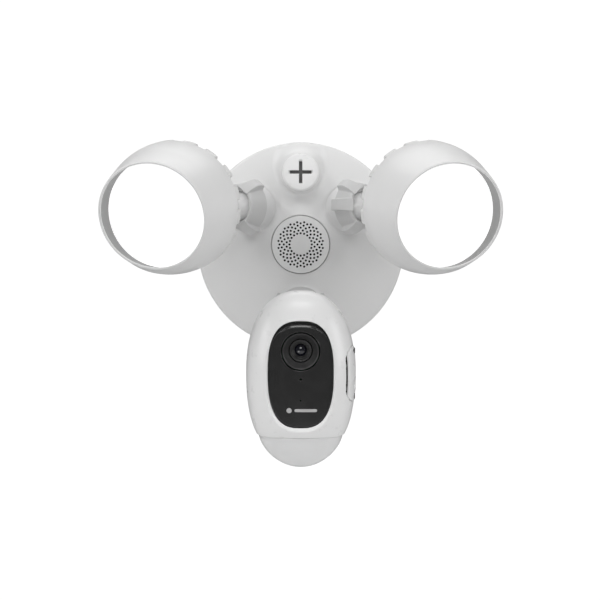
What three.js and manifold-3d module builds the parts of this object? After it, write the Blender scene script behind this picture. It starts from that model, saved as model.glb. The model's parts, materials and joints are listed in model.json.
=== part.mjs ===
// A floodlight security camera: a round wall base that carries two aimable lamps and one aimable
// camera head, each on a ball joint with a lugged lock nut.
// Lengths are millimetres. +Z is up, the object faces -Y and the wall is the plane y = 0.
// The origin is the centre of the back face. "Depth" means the distance in front of the wall.
import * as THREE from 'three';
import { mergeVertices } from 'three/addons/utils/BufferGeometryUtils.js';
import Module from 'manifold-3d';

const wasm = await Module();
wasm.setup();

// ---- Driving dimensions ----
const GAP = 0.3;
const FINE = 26; // segments round a large part
const MEDIUM = 14; // segments round a joint part
const COARSE = 8; // segments round a small part

// Base
const BASE_RADIUS = 80;
const DOME_RADIUS = 78.4;
const DOME_EDGE_DEPTH = 13;
const DOME_RISE = 15;
const SIDE_DEPTH = 11;
const COVER_WALL = 2.4;
const COVER_BACK = 3.8;
const TRAY_BACK = 3.3;
const TRAY_WALL = 2.5;
const TRAY_RADIUS = 78.5;
const TRAY_RIM_DEPTH = 11;

// Large screw
const SCREW_Z = 55;
const SCREW_HEAD_RADIUS = 14.3;
const SCREW_HEAD_DEPTH = 31.3;
const SCREW_HEAD_THICKNESS = 4;
const SHANK_RADIUS = 2.5;
const PEDESTAL_DEPTH = 31;

// Speaker
const GRILLE_RADIUS = 22;
const GRILLE_FRONT_DEPTH = 27.9;
const GRILLE_THICKNESS = 2.2;
const GRILLE_RING_RADII = [8.6, 10.8, 12.9, 14.6, 16.2, 17.2];
const GRILLE_HOLES_PER_RING = 20;
const GRILLE_HOLE_RADIUS = 0.75;

// Supply side
const CABLE_HOLE = { x: -38, z: 0, radius: 9, bore: 6 };
const COVER_SCREW = { x: 60, z: -22, post: 4, shank: 1.4 };

// Ball joints
const BALL_RADIUS = 11.5;
const SEAT_INSIDE = 12.1; // radius of the seat's and the ring's round faces
const SEAT_RADIUS = 13.1;
const SEAT_BACK = -13.2; // along the socket's axis, from the ball centre
const COLLAR_RADIUS = 15.2;
const COLLAR_BORE = 13.4;
const NUT_BORE = 16;
const NUT_SKIRT_RADIUS = 19.5;
const NUT_MOUTH = 9.5;
const LUG_RADIUS = 22.2;
const SHOULDER = -5.6; // where the pedestal's flat top lies, along the same axis
const NECK_RADIUS = 7.4;
const SPIGOT_RADIUS = 7;
const STEM_BORE = 3.5;
const LAMP_BALL = { x: 43, depth: 47, z: 28 };
const LAMP_SOCKET_YAW = 40;
const LAMP_NECK_YAW = 57.3;
const CAMERA_BALL = { x: 0, depth: 45, z: -51.5 };

// Lamps
const RIM_CENTRE = { x: 104, depth: 137, z: 16 };
const LAMP_YAW = 15.5;
const LAMP_PITCH = 11;
const RIM_SLANT = { down: 8.2, inward: 3 }; // degrees between the rim's plane and the lamp's axis
const RIM_RADIUS = 39.1;
const HOOD_RADIUS = 48.3;
const HOOD_LENGTH = 46.8;
const DIFFUSER_BACK = 18.2;
const RIB_COUNT = 17;
const RIB_WIDTH = 10.5;
const RIB_HEIGHT = 4.3;

// Camera head
const HEAD = { depth: 83, z: -95.4, pitch: 7 };
const HEAD_HALF_WIDTH = 39.9;
const HEAD_UP = 60.4;
const HEAD_DOWN = 64.6;
const HEAD_FRONT = 25;
const HEAD_REAR = 24;
const HEAD_WALL = 2.4;
const HEAD_OUTLINE_POWER = { up: 2.25, down: 2.5 };
const HEAD_DEPTH_POWER = 2.3;
const HEAD_PARTING = -2;
const SENSOR_CUT = -45.6; // height of the motion sensor dome's seam in the head
const SENSOR_DOME = { halfWidth: 30.8, halfDepth: 17.4, height: 24.6, wall: 1.4, power: 0.66 };
const WINDOW = {
  y: 2.6, halfWidth: 23.8, up: 37.7, down: 40.3, front: 19, thickness: 2.8,
  powers: { up: 2.65, down: 2.65 },
};
const WINDOW_TOP_GAP = 2.4; // the pane stops short of the opening's top edge
const WINDOW_FLANGE = { reach: 0.9, thickness: 1.2 }; // round the pane's back, behind the casing
const LENS = { y: 18.1, bezelRadius: 13.4, funnelRadius: 8.8 };
const MICROPHONE_Y = -2.2;
const INDICATOR_Y = -17.6;
const CARD_COVER = { z: 4.5, halfWidth: 9.5, halfHeight: 20.2 };
// How far below the casing's surface each layer at the card cover lies. The cover stands a little proud.
const CARD_LAYERS = {
  coverTop: -0.4, coverBottom: 0.9, gasketTop: 1.0, gasketBottom: 1.5, floor: 1.65,
};

// ---- Materials ----
function paint(colour, roughness, metalness = 0) {
  return new THREE.MeshStandardMaterial({ color: colour, roughness, metalness });
}

const whitePlastic = paint(0xeeeeee, 0.5);
const whiteMetal = paint(0xe8e8e8, 0.55, 0.2);
const milkyPlastic = paint(0xffffff, 0.35);
const glossWhite = paint(0xf4f4f4, 0.2);
const glossBlack = paint(0x1a1b1d, 0.12);
const matteBlack = paint(0x1d1d1f, 0.6);
const darkRubber = paint(0x3a3a3c, 0.85);
const greyRubber = paint(0x8a8c8e, 0.85);
const steel = paint(0xb4b6b8, 0.35, 1);
const boardGreen = paint(0x1f5a3a, 0.55);
const boardWhite = paint(0xf2f2ee, 0.5);
const reflectorSilver = paint(0xdfe2e4, 0.2, 0.9);
const lensGlass = paint(0x0b0d14, 0.05);
const terminalBeige = paint(0xcfc8b4, 0.6);

// ---- Solids ----
const radians = THREE.MathUtils.degToRad;

// A closed three.js geometry as a solid: shared corners are merged and the faces turned outward.
function solid(geometry, matrix = null) {
  const plain = geometry.clone();
  for (const name of Object.keys(plain.attributes)) {
    if (name !== 'position') plain.deleteAttribute(name);
  }
  if (matrix) plain.applyMatrix4(matrix);
  const merged = mergeVertices(plain, 1e-4);
  const position = merged.attributes.position.array;
  const corners = [];
  let volume = 0;
  for (let i = 0; i < merged.index.count; i += 3) {
    const face = [0, 1, 2].map((k) => merged.index.getX(i + k));
    if (face[0] === face[1] || face[1] === face[2] || face[2] === face[0]) continue;
    corners.push(face);
    const [a, b, c] = face.map((v) => new THREE.Vector3().fromArray(position, 3 * v));
    volume += a.dot(b.cross(c));
  }
  const outward = corners.map((face) => (volume > 0 ? face : [face[0], face[2], face[1]]));
  return new wasm.Manifold(new wasm.Mesh({
    numProp: 3,
    vertProperties: new Float32Array(position),
    triVerts: new Uint32Array(outward.flat()),
  }));
}

function joined(...solids) {
  return solids.reduce((total, next) => total.add(next));
}

function cut(body, ...tools) {
  return tools.reduce((total, next) => total.subtract(next), body);
}

// A profile of [radius, height] points turned about +Z.
function lathe(profile, segments = MEDIUM) {
  const points = profile.map(([radius, height]) => new THREE.Vector2(radius, height));
  return new THREE.LatheGeometry(points, segments).rotateX(Math.PI / 2);
}

// A washer-like ring between two radii and two heights.
function ring(inner, outer, low, high, segments = MEDIUM) {
  return lathe([[inner, low], [outer, low], [outer, high], [inner, high], [inner, low]], segments);
}

function rod(radius, low, high, segments = MEDIUM) {
  return lathe([[0, low], [radius, low], [radius, high], [0, high]], segments);
}

// A flat outline in x and y, thickened from one height to another along +Z.
function prism(outline, low, high, curveSegments = 8) {
  const settings = { depth: high - low, bevelEnabled: false, curveSegments };
  return new THREE.ExtrudeGeometry(outline, settings).translate(0, 0, low);
}

function box(width, height, depth, x = 0, y = 0, z = 0) {
  return new THREE.BoxGeometry(width, height, depth).translate(x, y, z);
}

function remap(geometry, place) {
  const position = geometry.attributes.position;
  const point = new THREE.Vector3();
  for (let i = 0; i < position.count; i += 1) {
    point.fromBufferAttribute(position, i);
    position.setXYZ(i, ...place(point).toArray());
  }
  return geometry;
}

// A stadium outline: a rectangle with round ends at the top and bottom.
function stadium(halfWidth, halfHeight) {
  const shape = new THREE.Shape();
  const straight = halfHeight - halfWidth;
  shape.absarc(0, straight, halfWidth, 0, Math.PI);
  shape.absarc(0, -straight, halfWidth, Math.PI, 2 * Math.PI);
  shape.closePath();
  return shape;
}

function polygonHole(x, y, radius, sides, turn = 0) {
  const corners = [];
  for (let k = 0; k <= sides; k += 1) {
    const angle = turn + (k / sides) * 2 * Math.PI;
    corners.push(new THREE.Vector2(x + radius * Math.cos(angle), y + radius * Math.sin(angle)));
  }
  return new THREE.Path().setFromPoints(corners);
}

// ---- Frames ----
function direction(yaw, pitch = 0) {
  const level = Math.cos(radians(pitch));
  return new THREE.Vector3(
    level * Math.sin(radians(yaw)),
    -level * Math.cos(radians(yaw)),
    -Math.sin(radians(pitch)),
  );
}

// The frame at a point whose +Z runs along an axis, with +X level and to the right of a viewer in front.
function frame(origin, axis) {
  const across = new THREE.Vector3(0, 0, 1).cross(axis).normalize();
  const up = new THREE.Vector3().crossVectors(axis, across);
  return new THREE.Matrix4().makeBasis(across, up, axis).setPosition(origin);
}

function at(x, depth, z) {
  return new THREE.Vector3(x, -depth, z);
}

const object = new THREE.Group();
const baseFrame = frame(at(0, 0, 0), direction(0)); // x right, y up, z is the depth

function group(matrix) {
  const holder = new THREE.Group();
  matrix.decompose(holder.position, holder.quaternion, holder.scale);
  object.add(holder);
  return holder;
}

// Adds a named mesh to a group. Its shape is a solid in that group's own frame.
function piece(name, shape, material, parent) {
  const body = shape instanceof THREE.BufferGeometry ? solid(shape) : shape;
  const mesh = body.getMesh();
  const geometry = new THREE.BufferGeometry();
  geometry.setAttribute('position', new THREE.BufferAttribute(new Float32Array(mesh.vertProperties), 3));
  geometry.setIndex(new THREE.BufferAttribute(new Uint32Array(mesh.triVerts), 1));
  geometry.computeVertexNormals();
  const node = new THREE.Mesh(geometry, material);
  node.name = name;
  parent.add(node);
}

// ---- Ball joint sockets ----
// Each is described in the frame at its ball centre whose +Z is the socket's axis.
function socketFrame(side) {
  if (side === 0) return frame(at(CAMERA_BALL.x, CAMERA_BALL.depth, CAMERA_BALL.z), direction(0));
  const centre = at(side * LAMP_BALL.x, LAMP_BALL.depth, LAMP_BALL.z);
  return frame(centre, direction(side * LAMP_SOCKET_YAW));
}

function neckFrame(side) {
  if (side === 0) return socketFrame(0);
  const centre = at(side * LAMP_BALL.x, LAMP_BALL.depth, LAMP_BALL.z);
  return frame(centre, direction(side * LAMP_NECK_YAW));
}

// The pedestal under a socket: a round tube that starts square to the socket's axis and turns until it
// meets the base squarely, flaring towards its foot.
function pedestal(side, topHeight, topRadius, footRadius, footDepth) {
  const toBase = baseFrame.clone().invert().multiply(socketFrame(side));
  const top = new THREE.Vector3(0, 0, topHeight).applyMatrix4(toBase);
  const bend = new THREE.Vector3(0, 0, topHeight - 6).applyMatrix4(toBase);
  const foot = new THREE.Vector3(bend.x, bend.y, footDepth);
  const path = new THREE.QuadraticBezierCurve3(top, bend, foot);
  const tube = new THREE.CylinderGeometry(1, 1, 1, MEDIUM, 3).rotateX(Math.PI / 2);
  return remap(tube, (point) => {
    const back = 0.5 - point.z;
    const radius = THREE.MathUtils.lerp(topRadius, footRadius, back ** 2.2);
    const yaw = radians(side * LAMP_SOCKET_YAW) * (1 - back);
    const across = point.x * radius;
    return path.getPoint(back).add(new THREE.Vector3(
      across * Math.cos(yaw), point.y * radius, -across * Math.sin(yaw)));
  });
}

const SIDES = [-1, 1, 0];

// ---- Base front cover ----
function domeDepth(radius) {
  return DOME_EDGE_DEPTH + DOME_RISE * (1 - (radius / DOME_RADIUS) ** 2);
}

function domeProfile(inset, steps) {
  const profile = [[0, domeDepth(0) - inset]];
  const edge = DOME_RADIUS - inset;
  for (let i = 1; i <= steps; i += 1) {
    const radius = (edge * i) / steps;
    profile.push([radius, domeDepth(radius) - inset]);
  }
  return profile;
}

function frontCover() {
  const skin = [
    ...domeProfile(0, 5), [BASE_RADIUS, SIDE_DEPTH], [BASE_RADIUS, COVER_BACK], [0, COVER_BACK],
  ];
  const inside = [
    ...domeProfile(COVER_WALL, 3),
    [TRAY_RADIUS + GAP, TRAY_RIM_DEPTH],
    [TRAY_RADIUS + GAP, COVER_BACK - 1],
    [0, COVER_BACK - 1],
  ];
  const screwPedestal = [
    [0, 10], [21, 10], [21, 18.5], [18.6, 21.5], [16.8, 25], [15.6, 28.5], [15, PEDESTAL_DEPTH],
    [0, PEDESTAL_DEPTH],
  ];
  const screwLine = new THREE.Matrix4().makeTranslation(0, SCREW_Z, 0);
  let outer = joined(solid(lathe(skin, FINE)), solid(lathe(screwPedestal), screwLine));
  let hollow = solid(lathe(inside, FINE));
  for (const side of SIDES) {
    outer = outer.add(solid(pedestal(side, SHOULDER, 18, 21, 11)));
    hollow = hollow.add(solid(pedestal(side, SEAT_BACK - 2.4, 14.8, 17.5, 10)));
  }
  // The screw's pedestal stays thick, and a post carries its clamping force back to the tray.
  const keep = solid(rod(7, TRAY_BACK + TRAY_WALL + GAP, PEDESTAL_DEPTH - 1, COARSE), screwLine);
  hollow = hollow.subtract(keep);
  for (const side of [-1, 1]) {
    const post = new THREE.Matrix4().makeTranslation(side * COVER_SCREW.x, COVER_SCREW.z, 0);
    hollow = hollow.subtract(solid(rod(COVER_SCREW.post, TRAY_BACK + TRAY_WALL + GAP, 30, COARSE), post));
    hollow = hollow.add(solid(rod(COVER_SCREW.shank + GAP, 0, 14.5, COARSE), post));
  }
  let cover = outer.subtract(hollow);
  const baseFromWorld = baseFrame.clone().invert();
  for (const side of SIDES) {
    const toBase = baseFromWorld.clone().multiply(socketFrame(side));
    const collar = solid(rod(COLLAR_RADIUS, SHOULDER - 2, 1.5), toBase);
    const seatBore = solid(rod(COLLAR_BORE, SEAT_BACK - GAP, 2.5), toBase);
    const cableBore = solid(rod(5, SEAT_BACK - 6, 0, COARSE), toBase);
    cover = cut(cover.add(collar), seatBore, cableBore);
  }
  const sealGroove = solid(ring(6.7, 9.9, PEDESTAL_DEPTH - 1.7, PEDESTAL_DEPTH + 1, COARSE), screwLine);
  const screwBore = solid(rod(SHANK_RADIUS + GAP, 0, PEDESTAL_DEPTH + 1, COARSE), screwLine);
  const grilleBore = solid(rod(GRILLE_RADIUS + GAP, 20, 40, FINE));
  return cut(cover, sealGroove, screwBore, grilleBore);
}

// ---- Base ----
function wallBracket() {
  const bar = stadium(13, 64);
  for (const z of [-40, 32]) {
    const slot = new THREE.Path();
    slot.absarc(5, z, 2.5, -Math.PI / 2, Math.PI / 2);
    slot.absarc(-5, z, 2.5, Math.PI / 2, 1.5 * Math.PI);
    slot.closePath();
    bar.holes.push(slot);
  }
  const line = new THREE.Matrix4().makeTranslation(0, SCREW_Z, 0);
  const plate = solid(prism(bar, 0, 2, 5));
  const boss = solid(rod(7, 1, 5.5, COARSE), line);
  const thread = solid(rod(SHANK_RADIUS + GAP, -1, 13, COARSE), line);
  return cut(joined(plate, boss), thread);
}

function rearHousing() {
  const floor = TRAY_BACK + TRAY_WALL;
  const profile = [
    [0, TRAY_BACK], [TRAY_RADIUS, TRAY_BACK], [TRAY_RADIUS, TRAY_RIM_DEPTH - 1],
    [TRAY_RADIUS - TRAY_WALL, TRAY_RIM_DEPTH - 1], [TRAY_RADIUS - TRAY_WALL, floor], [0, floor],
  ];
  const tray = solid(lathe(profile, FINE));
  const bossHole = solid(rod(7.4, 0, 9, COARSE), new THREE.Matrix4().makeTranslation(0, SCREW_Z, 0));
  const cableLine = new THREE.Matrix4().makeTranslation(CABLE_HOLE.x, CABLE_HOLE.z, 0);
  const cableHole = solid(rod(CABLE_HOLE.radius, 0, 9), cableLine);
  const screwHoles = [-1, 1].map((side) => {
    const line = new THREE.Matrix4().makeTranslation(side * COVER_SCREW.x, COVER_SCREW.z, 0);
    return solid(rod(COVER_SCREW.shank + GAP, 0, 9, COARSE), line);
  });
  return cut(tray, bossHole, cableHole, ...screwHoles);
}

function mountingScrew() {
  const top = SCREW_HEAD_DEPTH + SCREW_HEAD_THICKNESS;
  const profile = [
    [0, 4], [SHANK_RADIUS, 4], [SHANK_RADIUS, SCREW_HEAD_DEPTH], [SCREW_HEAD_RADIUS, SCREW_HEAD_DEPTH],
    [SCREW_HEAD_RADIUS, top - 0.8], [SCREW_HEAD_RADIUS - 0.8, top], [0, top],
  ];
  const slotDepth = 2;
  const arms = [
    solid(box(18.8, 2.5, 2 * slotDepth, 0, 0, top)),
    solid(box(2.5, 18.8, 2 * slotDepth, 0, 0, top)),
  ];
  return cut(solid(lathe(profile, MEDIUM + 4)), ...arms);
}

function speakerGrille() {
  const disc = new THREE.Shape();
  disc.absarc(0, 0, GRILLE_RADIUS, 0, 2 * Math.PI);
  GRILLE_RING_RADII.forEach((radius, row) => {
    for (let i = 0; i < GRILLE_HOLES_PER_RING; i += 1) {
      const turn = ((i + (row % 2) / 2) / GRILLE_HOLES_PER_RING) * 2 * Math.PI;
      const x = radius * Math.cos(turn);
      disc.holes.push(polygonHole(x, radius * Math.sin(turn), GRILLE_HOLE_RADIUS, 4, turn));
    }
  });
  return prism(disc, GRILLE_FRONT_DEPTH - GRILLE_THICKNESS, GRILLE_FRONT_DEPTH, FINE / 2);
}

// The loudspeaker: magnet at the back, basket and a cone that dips in the middle.
function speakerDriver() {
  return lathe([
    [0, 11], [9, 11], [9, 16], [12, 17], [19.5, 22], [21.5, 22], [21.5, 25.2], [17, 25.2], [6, 20.5],
    [0, 21.5],
  ]);
}

function powerBoard() {
  const board = solid(box(72, 26, 1.6, 0, -42, 9));
  const transformer = solid(box(18, 16, 6, -24, -42, 12.5));
  const capacitor = solid(rod(4.5, 9.5, 17, COARSE).translate(24, -40, 0));
  const heatTab = solid(box(16, 2.5, 4, 20, -52, 11));
  return joined(board, transformer, capacitor, heatTab);
}

function terminalBlock() {
  const block = solid(box(26, 12, 9, 38, 2, 10.7));
  const wireHoles = [-1, 0, 1].map((step) => solid(box(3.6, 6, 3.6, 38 + 8 * step, 7, 11)));
  return cut(block, ...wireHoles);
}

function cableGrommet() {
  const { radius, bore } = CABLE_HOLE;
  const back = TRAY_BACK - GAP;
  const front = TRAY_BACK + TRAY_WALL + GAP;
  return lathe([
    [bore, 1.6], [radius + 2, 1.6], [radius + 2, back], [radius - GAP, back], [radius - GAP, front],
    [radius + 2, front], [radius + 2, front + 1.4], [bore, front + 1.4], [bore, 1.6],
  ], MEDIUM);
}

function panScrew(headRadius, headHeight, shankRadius, length) {
  return lathe([
    [0, 0], [headRadius, 0], [headRadius, headHeight], [shankRadius, headHeight], [shankRadius, length],
    [0, length],
  ], 10);
}

function addBase() {
  const base = group(baseFrame);
  piece('wall_bracket', wallBracket(), steel, base);
  piece('wall_gasket', ring(70, 78.8, 0, 3, FINE), greyRubber, base);
  piece('base_rear_housing', rearHousing(), whitePlastic, base);
  piece('base_front_cover', frontCover(), whitePlastic, base);
  piece('speaker_grille', speakerGrille(), whitePlastic, base);
  piece('speaker_driver', speakerDriver(), matteBlack, base);
  piece('power_board', powerBoard(), boardGreen, base);
  piece('terminal_block', terminalBlock(), terminalBeige, base);

  const cable = group(baseFrame.clone().multiply(
    new THREE.Matrix4().makeTranslation(CABLE_HOLE.x, CABLE_HOLE.z, 0)));
  piece('cable_grommet', cableGrommet(), darkRubber, cable);

  for (const [side, word] of [[-1, 'left'], [1, 'right']]) {
    const line = new THREE.Matrix4().makeTranslation(side * COVER_SCREW.x, COVER_SCREW.z, 0.9);
    const holder = group(baseFrame.clone().multiply(line));
    piece(`cover_screw_${word}`, panScrew(3, 2.1, COVER_SCREW.shank, 13), steel, holder);
  }

  const screwLine = group(baseFrame.clone().multiply(new THREE.Matrix4().makeTranslation(0, SCREW_Z, 0)));
  piece('mounting_screw', mountingScrew(), whitePlastic, screwLine);
  const seal = ring(7, 9.6, PEDESTAL_DEPTH - 1.4, PEDESTAL_DEPTH, COARSE);
  piece('mounting_screw_seal', seal, darkRubber, screwLine);
}

// ---- Ball joints ----
function sphereProfile(radius, from, to, steps) {
  const profile = [];
  for (let i = 0; i <= steps; i += 1) {
    const height = THREE.MathUtils.lerp(from, to, i / steps);
    profile.push([Math.sqrt(radius ** 2 - height ** 2), height]);
  }
  return profile;
}

// The cup behind the ball.
function socketSeat() {
  const inner = sphereProfile(SEAT_INSIDE, -0.2, -11, 4);
  const throat = inner.at(-1)[0];
  return lathe([...inner, [throat, SEAT_BACK], [SEAT_RADIUS, SEAT_BACK], [SEAT_RADIUS, -0.2], inner[0]]);
}

// The ring in front of the ball, between it and the lock nut.
function frictionRing() {
  const inner = sphereProfile(SEAT_INSIDE, 2.1, 4.9, 1);
  return lathe([inner[0], [COLLAR_RADIUS, 2.1], [COLLAR_RADIUS, 4.9], inner[1], inner[0]]);
}

function lockNut(lugTurns) {
  const back = SHOULDER + GAP;
  const skirt = lathe([
    [NUT_BORE, back], [NUT_SKIRT_RADIUS, back], [18.4, 0], [17.2, 5], [16.6, NUT_MOUTH - 1],
    [15.8, NUT_MOUTH], [14.2, NUT_MOUTH], [13.8, NUT_MOUTH - 0.6], [13.2, 5.2], [NUT_BORE, 5.2],
    [NUT_BORE, back],
  ], MEDIUM);
  const outline = new THREE.Shape();
  outline.moveTo(15, back);
  outline.lineTo(LUG_RADIUS, back);
  outline.lineTo(LUG_RADIUS - 0.4, 0);
  outline.quadraticCurveTo(20.5, 5.5, 16.4, NUT_MOUTH - 0.8);
  outline.lineTo(15, NUT_MOUTH - 1.5);
  outline.closePath();
  const lugs = lugTurns.map((turn) => {
    const place = new THREE.Matrix4().makeRotationZ(radians(turn));
    place.multiply(new THREE.Matrix4().makeRotationX(Math.PI / 2));
    return solid(prism(outline, -4, 4, 3), place);
  });
  const bore = solid(rod(NUT_BORE, back - 1, 5.2));
  return joined(solid(skirt), ...lugs.map((lug) => lug.subtract(bore)));
}

// A bead with the cable hole through it. It fits inside the ball's bore at any angle.
function cableBead() {
  return lathe([[1.6, -2.6], [2.6, -1.9], [3.1, 0], [2.6, 1.9], [1.6, 2.6], [1.6, -2.6]], 10);
}

// Ball and neck. The far end is a spigot with a groove for its fixing screw.
function ballStem(flange, spigotStart, spigotEnd, groove) {
  const neckStart = Math.sqrt(BALL_RADIUS ** 2 - NECK_RADIUS ** 2);
  const ballBack = -Math.sqrt(BALL_RADIUS ** 2 - STEM_BORE ** 2);
  const grooveRadius = SPIGOT_RADIUS - 1.4;
  return lathe([
    ...sphereProfile(BALL_RADIUS, ballBack, neckStart, 5),
    [NECK_RADIUS, 14.8],
    [flange - 1.2, spigotStart - 1.8],
    [flange, spigotStart],
    [SPIGOT_RADIUS, spigotStart],
    [SPIGOT_RADIUS, groove - 2.5],
    [grooveRadius, groove - 2.5],
    [grooveRadius, groove + 2.5],
    [SPIGOT_RADIUS, groove + 2.5],
    [SPIGOT_RADIUS, spigotEnd],
    [STEM_BORE, spigotEnd],
    [STEM_BORE, ballBack],
  ]);
}

// A set screw that enters a stem's groove from below.
function addStemScrew(side, name, groove, outer) {
  const line = new THREE.Matrix4().makeRotationX(-Math.PI / 2).setPosition(0, -outer, groove);
  const holder = group(neckFrame(side).multiply(line));
  const reach = outer - SPIGOT_RADIUS + 1.1;
  const screw = lathe([[0, 0], [2, 0], [2, reach - 1], [1, reach], [0, reach]], 10);
  piece(`${name}_stem_screw`, screw, steel, holder);
}

function addBallJoint(side, name, lugTurns) {
  const socket = group(socketFrame(side));
  piece(`${name}_socket_seat`, socketSeat(), matteBlack, socket);
  piece(`${name}_friction_ring`, frictionRing(), whitePlastic, socket);
  piece(`${name}_lock_nut`, lockNut(lugTurns), whitePlastic, socket);
  piece(`${name}_cable_bead`, cableBead(), darkRubber, socket);
}

// ---- Lamps ----
function hoodRadius(z) {
  return RIM_RADIUS + (HOOD_RADIUS - RIM_RADIUS) * Math.sin((Math.PI / 2) * (-z / HOOD_LENGTH));
}

// Leans the front of the hood so that its rim is longer on top and on the outer side.
function slantRim(geometry, side) {
  const slopeY = Math.tan(radians(RIM_SLANT.down));
  const slopeX = side * Math.tan(radians(RIM_SLANT.inward));
  return remap(geometry, (point) => {
    const share = THREE.MathUtils.clamp(1 + point.z / DIFFUSER_BACK, 0, 1);
    point.z += share * (slopeY * point.y + slopeX * point.x);
    return point;
  });
}

function lampHood(side) {
  const outer = [];
  for (let i = 0; i <= 5; i += 1) {
    const z = (-HOOD_LENGTH * i) / 5;
    outer.push([hoodRadius(z), z]);
  }
  const lip = RIM_RADIUS - 1.8;
  const profile = [
    ...outer,
    [HOOD_RADIUS, -HOOD_LENGTH - 1.2],
    [46.6, -HOOD_LENGTH - 1.2],
    [44.2, -30],
    [43, -24],
    [43, -DIFFUSER_BACK],
    [39.6, -DIFFUSER_BACK],
    [lip, 0],
    [lip + 0.9, 0.6],
    outer[0],
  ];
  return slantRim(lathe(profile, FINE - 2), side);
}

const HEAT_SINK_BACK = -HOOD_LENGTH - 18.5;
const RIB_START = -HOOD_LENGTH - 1.2 - GAP;
const LAMP_STEM = { flange: 11.5, spigotStart: 33.3, spigotEnd: 46, groove: 40.5, screwOuter: 12.8 };

// Raises the ribs behind the hood: within each pitch the wall steps out until it is flush with the hood.
function raiseRibs(geometry, lampSide) {
  const halfRib = RIB_WIDTH / 2 / HOOD_RADIUS;
  const pitch = (2 * Math.PI) / RIB_COUNT;
  return remap(geometry, (point) => {
    const angle = Math.atan2(point.y, point.x) + 2 * Math.PI;
    const quarter = Math.round((4 * angle) / pitch);
    const step = quarter % 4;
    const middle = (Math.floor(quarter / 4) + (lampSide < 0 ? 0.5 : 0)) * pitch;
    const side = step < 2 ? -1 : 1;
    const isRaised = (step === 1 || step === 2) && point.z < RIB_START - 0.1;
    const turned = middle + side * (halfRib + (step === 1 || step === 2 ? 0 : 0.02));
    const radius = Math.hypot(point.x, point.y);
    const fade = THREE.MathUtils.clamp((radius - 30) / 8, 0, 1);
    const reach = radius + (isRaised ? RIB_HEIGHT * fade : 0);
    const lift = isRaised && radius > 30 && point.z < RIB_START - 4 ? -1.5 : 0;
    return new THREE.Vector3(reach * Math.cos(turned), reach * Math.sin(turned), point.z + lift);
  });
}

function heatSink(side) {
  const neckToLamp = lampFrame(side).invert().multiply(neckFrame(side));
  const front = RIB_START;
  const shoulder = -HOOD_LENGTH - 7.5;
  const wall = HOOD_RADIUS - RIB_HEIGHT;
  const profile = [
    [0, -44], [45.5, -44], [45.5, front], [wall, front - 0.2], [wall, shoulder],
    [wall - 5, shoulder - 5.5], [30, HEAT_SINK_BACK + 2], [0, HEAT_SINK_BACK],
  ];
  const ribbed = raiseRibs(lathe(profile, 4 * RIB_COUNT), side);
  const cone = lathe([[0, 33.6], [11.5, 33.6], [13.4, 38], [16.5, 47], [19, 53], [0, 53]]);
  const boss = solid(cone, neckToLamp);
  const cavity = [
    [0, -40], [41, -40], [41, shoulder], [28, HEAT_SINK_BACK + 5.5], [0, HEAT_SINK_BACK + 4],
  ];
  const spigotHole = solid(rod(SPIGOT_RADIUS + GAP, 30, LAMP_STEM.spigotEnd + 0.5), neckToLamp);
  const cableHole = solid(rod(STEM_BORE, 40, 66, COARSE), neckToLamp);
  const screwHole = rod(2 + GAP, -30, -4, COARSE).rotateX(-Math.PI / 2).translate(0, 0, LAMP_STEM.groove);
  const body = solid(ribbed).add(boss).subtract(solid(lathe(cavity, FINE - 8)).subtract(boss));
  return cut(body, spigotHole, cableHole, solid(screwHole, neckToLamp));
}

function lampFrame(side) {
  const centre = at(side * RIM_CENTRE.x, RIM_CENTRE.depth, RIM_CENTRE.z);
  return frame(centre, direction(side * LAMP_YAW, LAMP_PITCH));
}

function ledBoard() {
  const board = solid(rod(40, -43.6, -42, MEDIUM));
  const leds = [0, 1, 2, 3, 4, 5].map((i) => {
    const turn = (i * Math.PI) / 3;
    return solid(box(7, 7, 2, 22 * Math.cos(turn), 22 * Math.sin(turn), -41.5));
  });
  return joined(board, ...leds);
}

function addLamp(side, name) {
  const lamp = group(lampFrame(side));
  const neck = group(neckFrame(side));
  const { flange, spigotStart, spigotEnd, groove, screwOuter } = LAMP_STEM;
  piece(`${name}_ball_stem`, ballStem(flange, spigotStart, spigotEnd, groove), whitePlastic, neck);
  addStemScrew(side, name, groove, screwOuter);
  piece(`${name}_hood`, lampHood(side), whitePlastic, lamp);
  piece(`${name}_heat_sink`, heatSink(side), whiteMetal, lamp);
  piece(`${name}_diffuser`, rod(42.6, -21, -DIFFUSER_BACK - GAP, FINE - 6), milkyPlastic, lamp);
  piece(`${name}_diffuser_gasket`, ring(39.5, 42.6, -23.2, -21.3, COARSE + 10), greyRubber, lamp);
  const reflector = lathe([
    [40.2, -23.6], [30, -39.6], [31.4, -39.6], [41.8, -23.6], [40.2, -23.6],
  ], COARSE + 10);
  piece(`${name}_reflector`, reflector, reflectorSilver, lamp);
  piece(`${name}_led_board`, ledBoard(), boardWhite, lamp);
}

// ---- Camera head ----
// In the head's frame x is right, y is up and z points out of its face.
function headFrame() {
  return frame(at(0, HEAD.depth, HEAD.z), direction(0, HEAD.pitch));
}

function outlineRadius(angle, halfWidth, up, down, powers) {
  const isUp = Math.sin(angle) > 0;
  const reach = isUp ? up : down;
  const power = isUp ? powers.up : powers.down;
  const across = Math.abs(Math.cos(angle) / halfWidth) ** power;
  const along = Math.abs(Math.sin(angle) / reach) ** power;
  return (across + along) ** (-1 / power);
}

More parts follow.
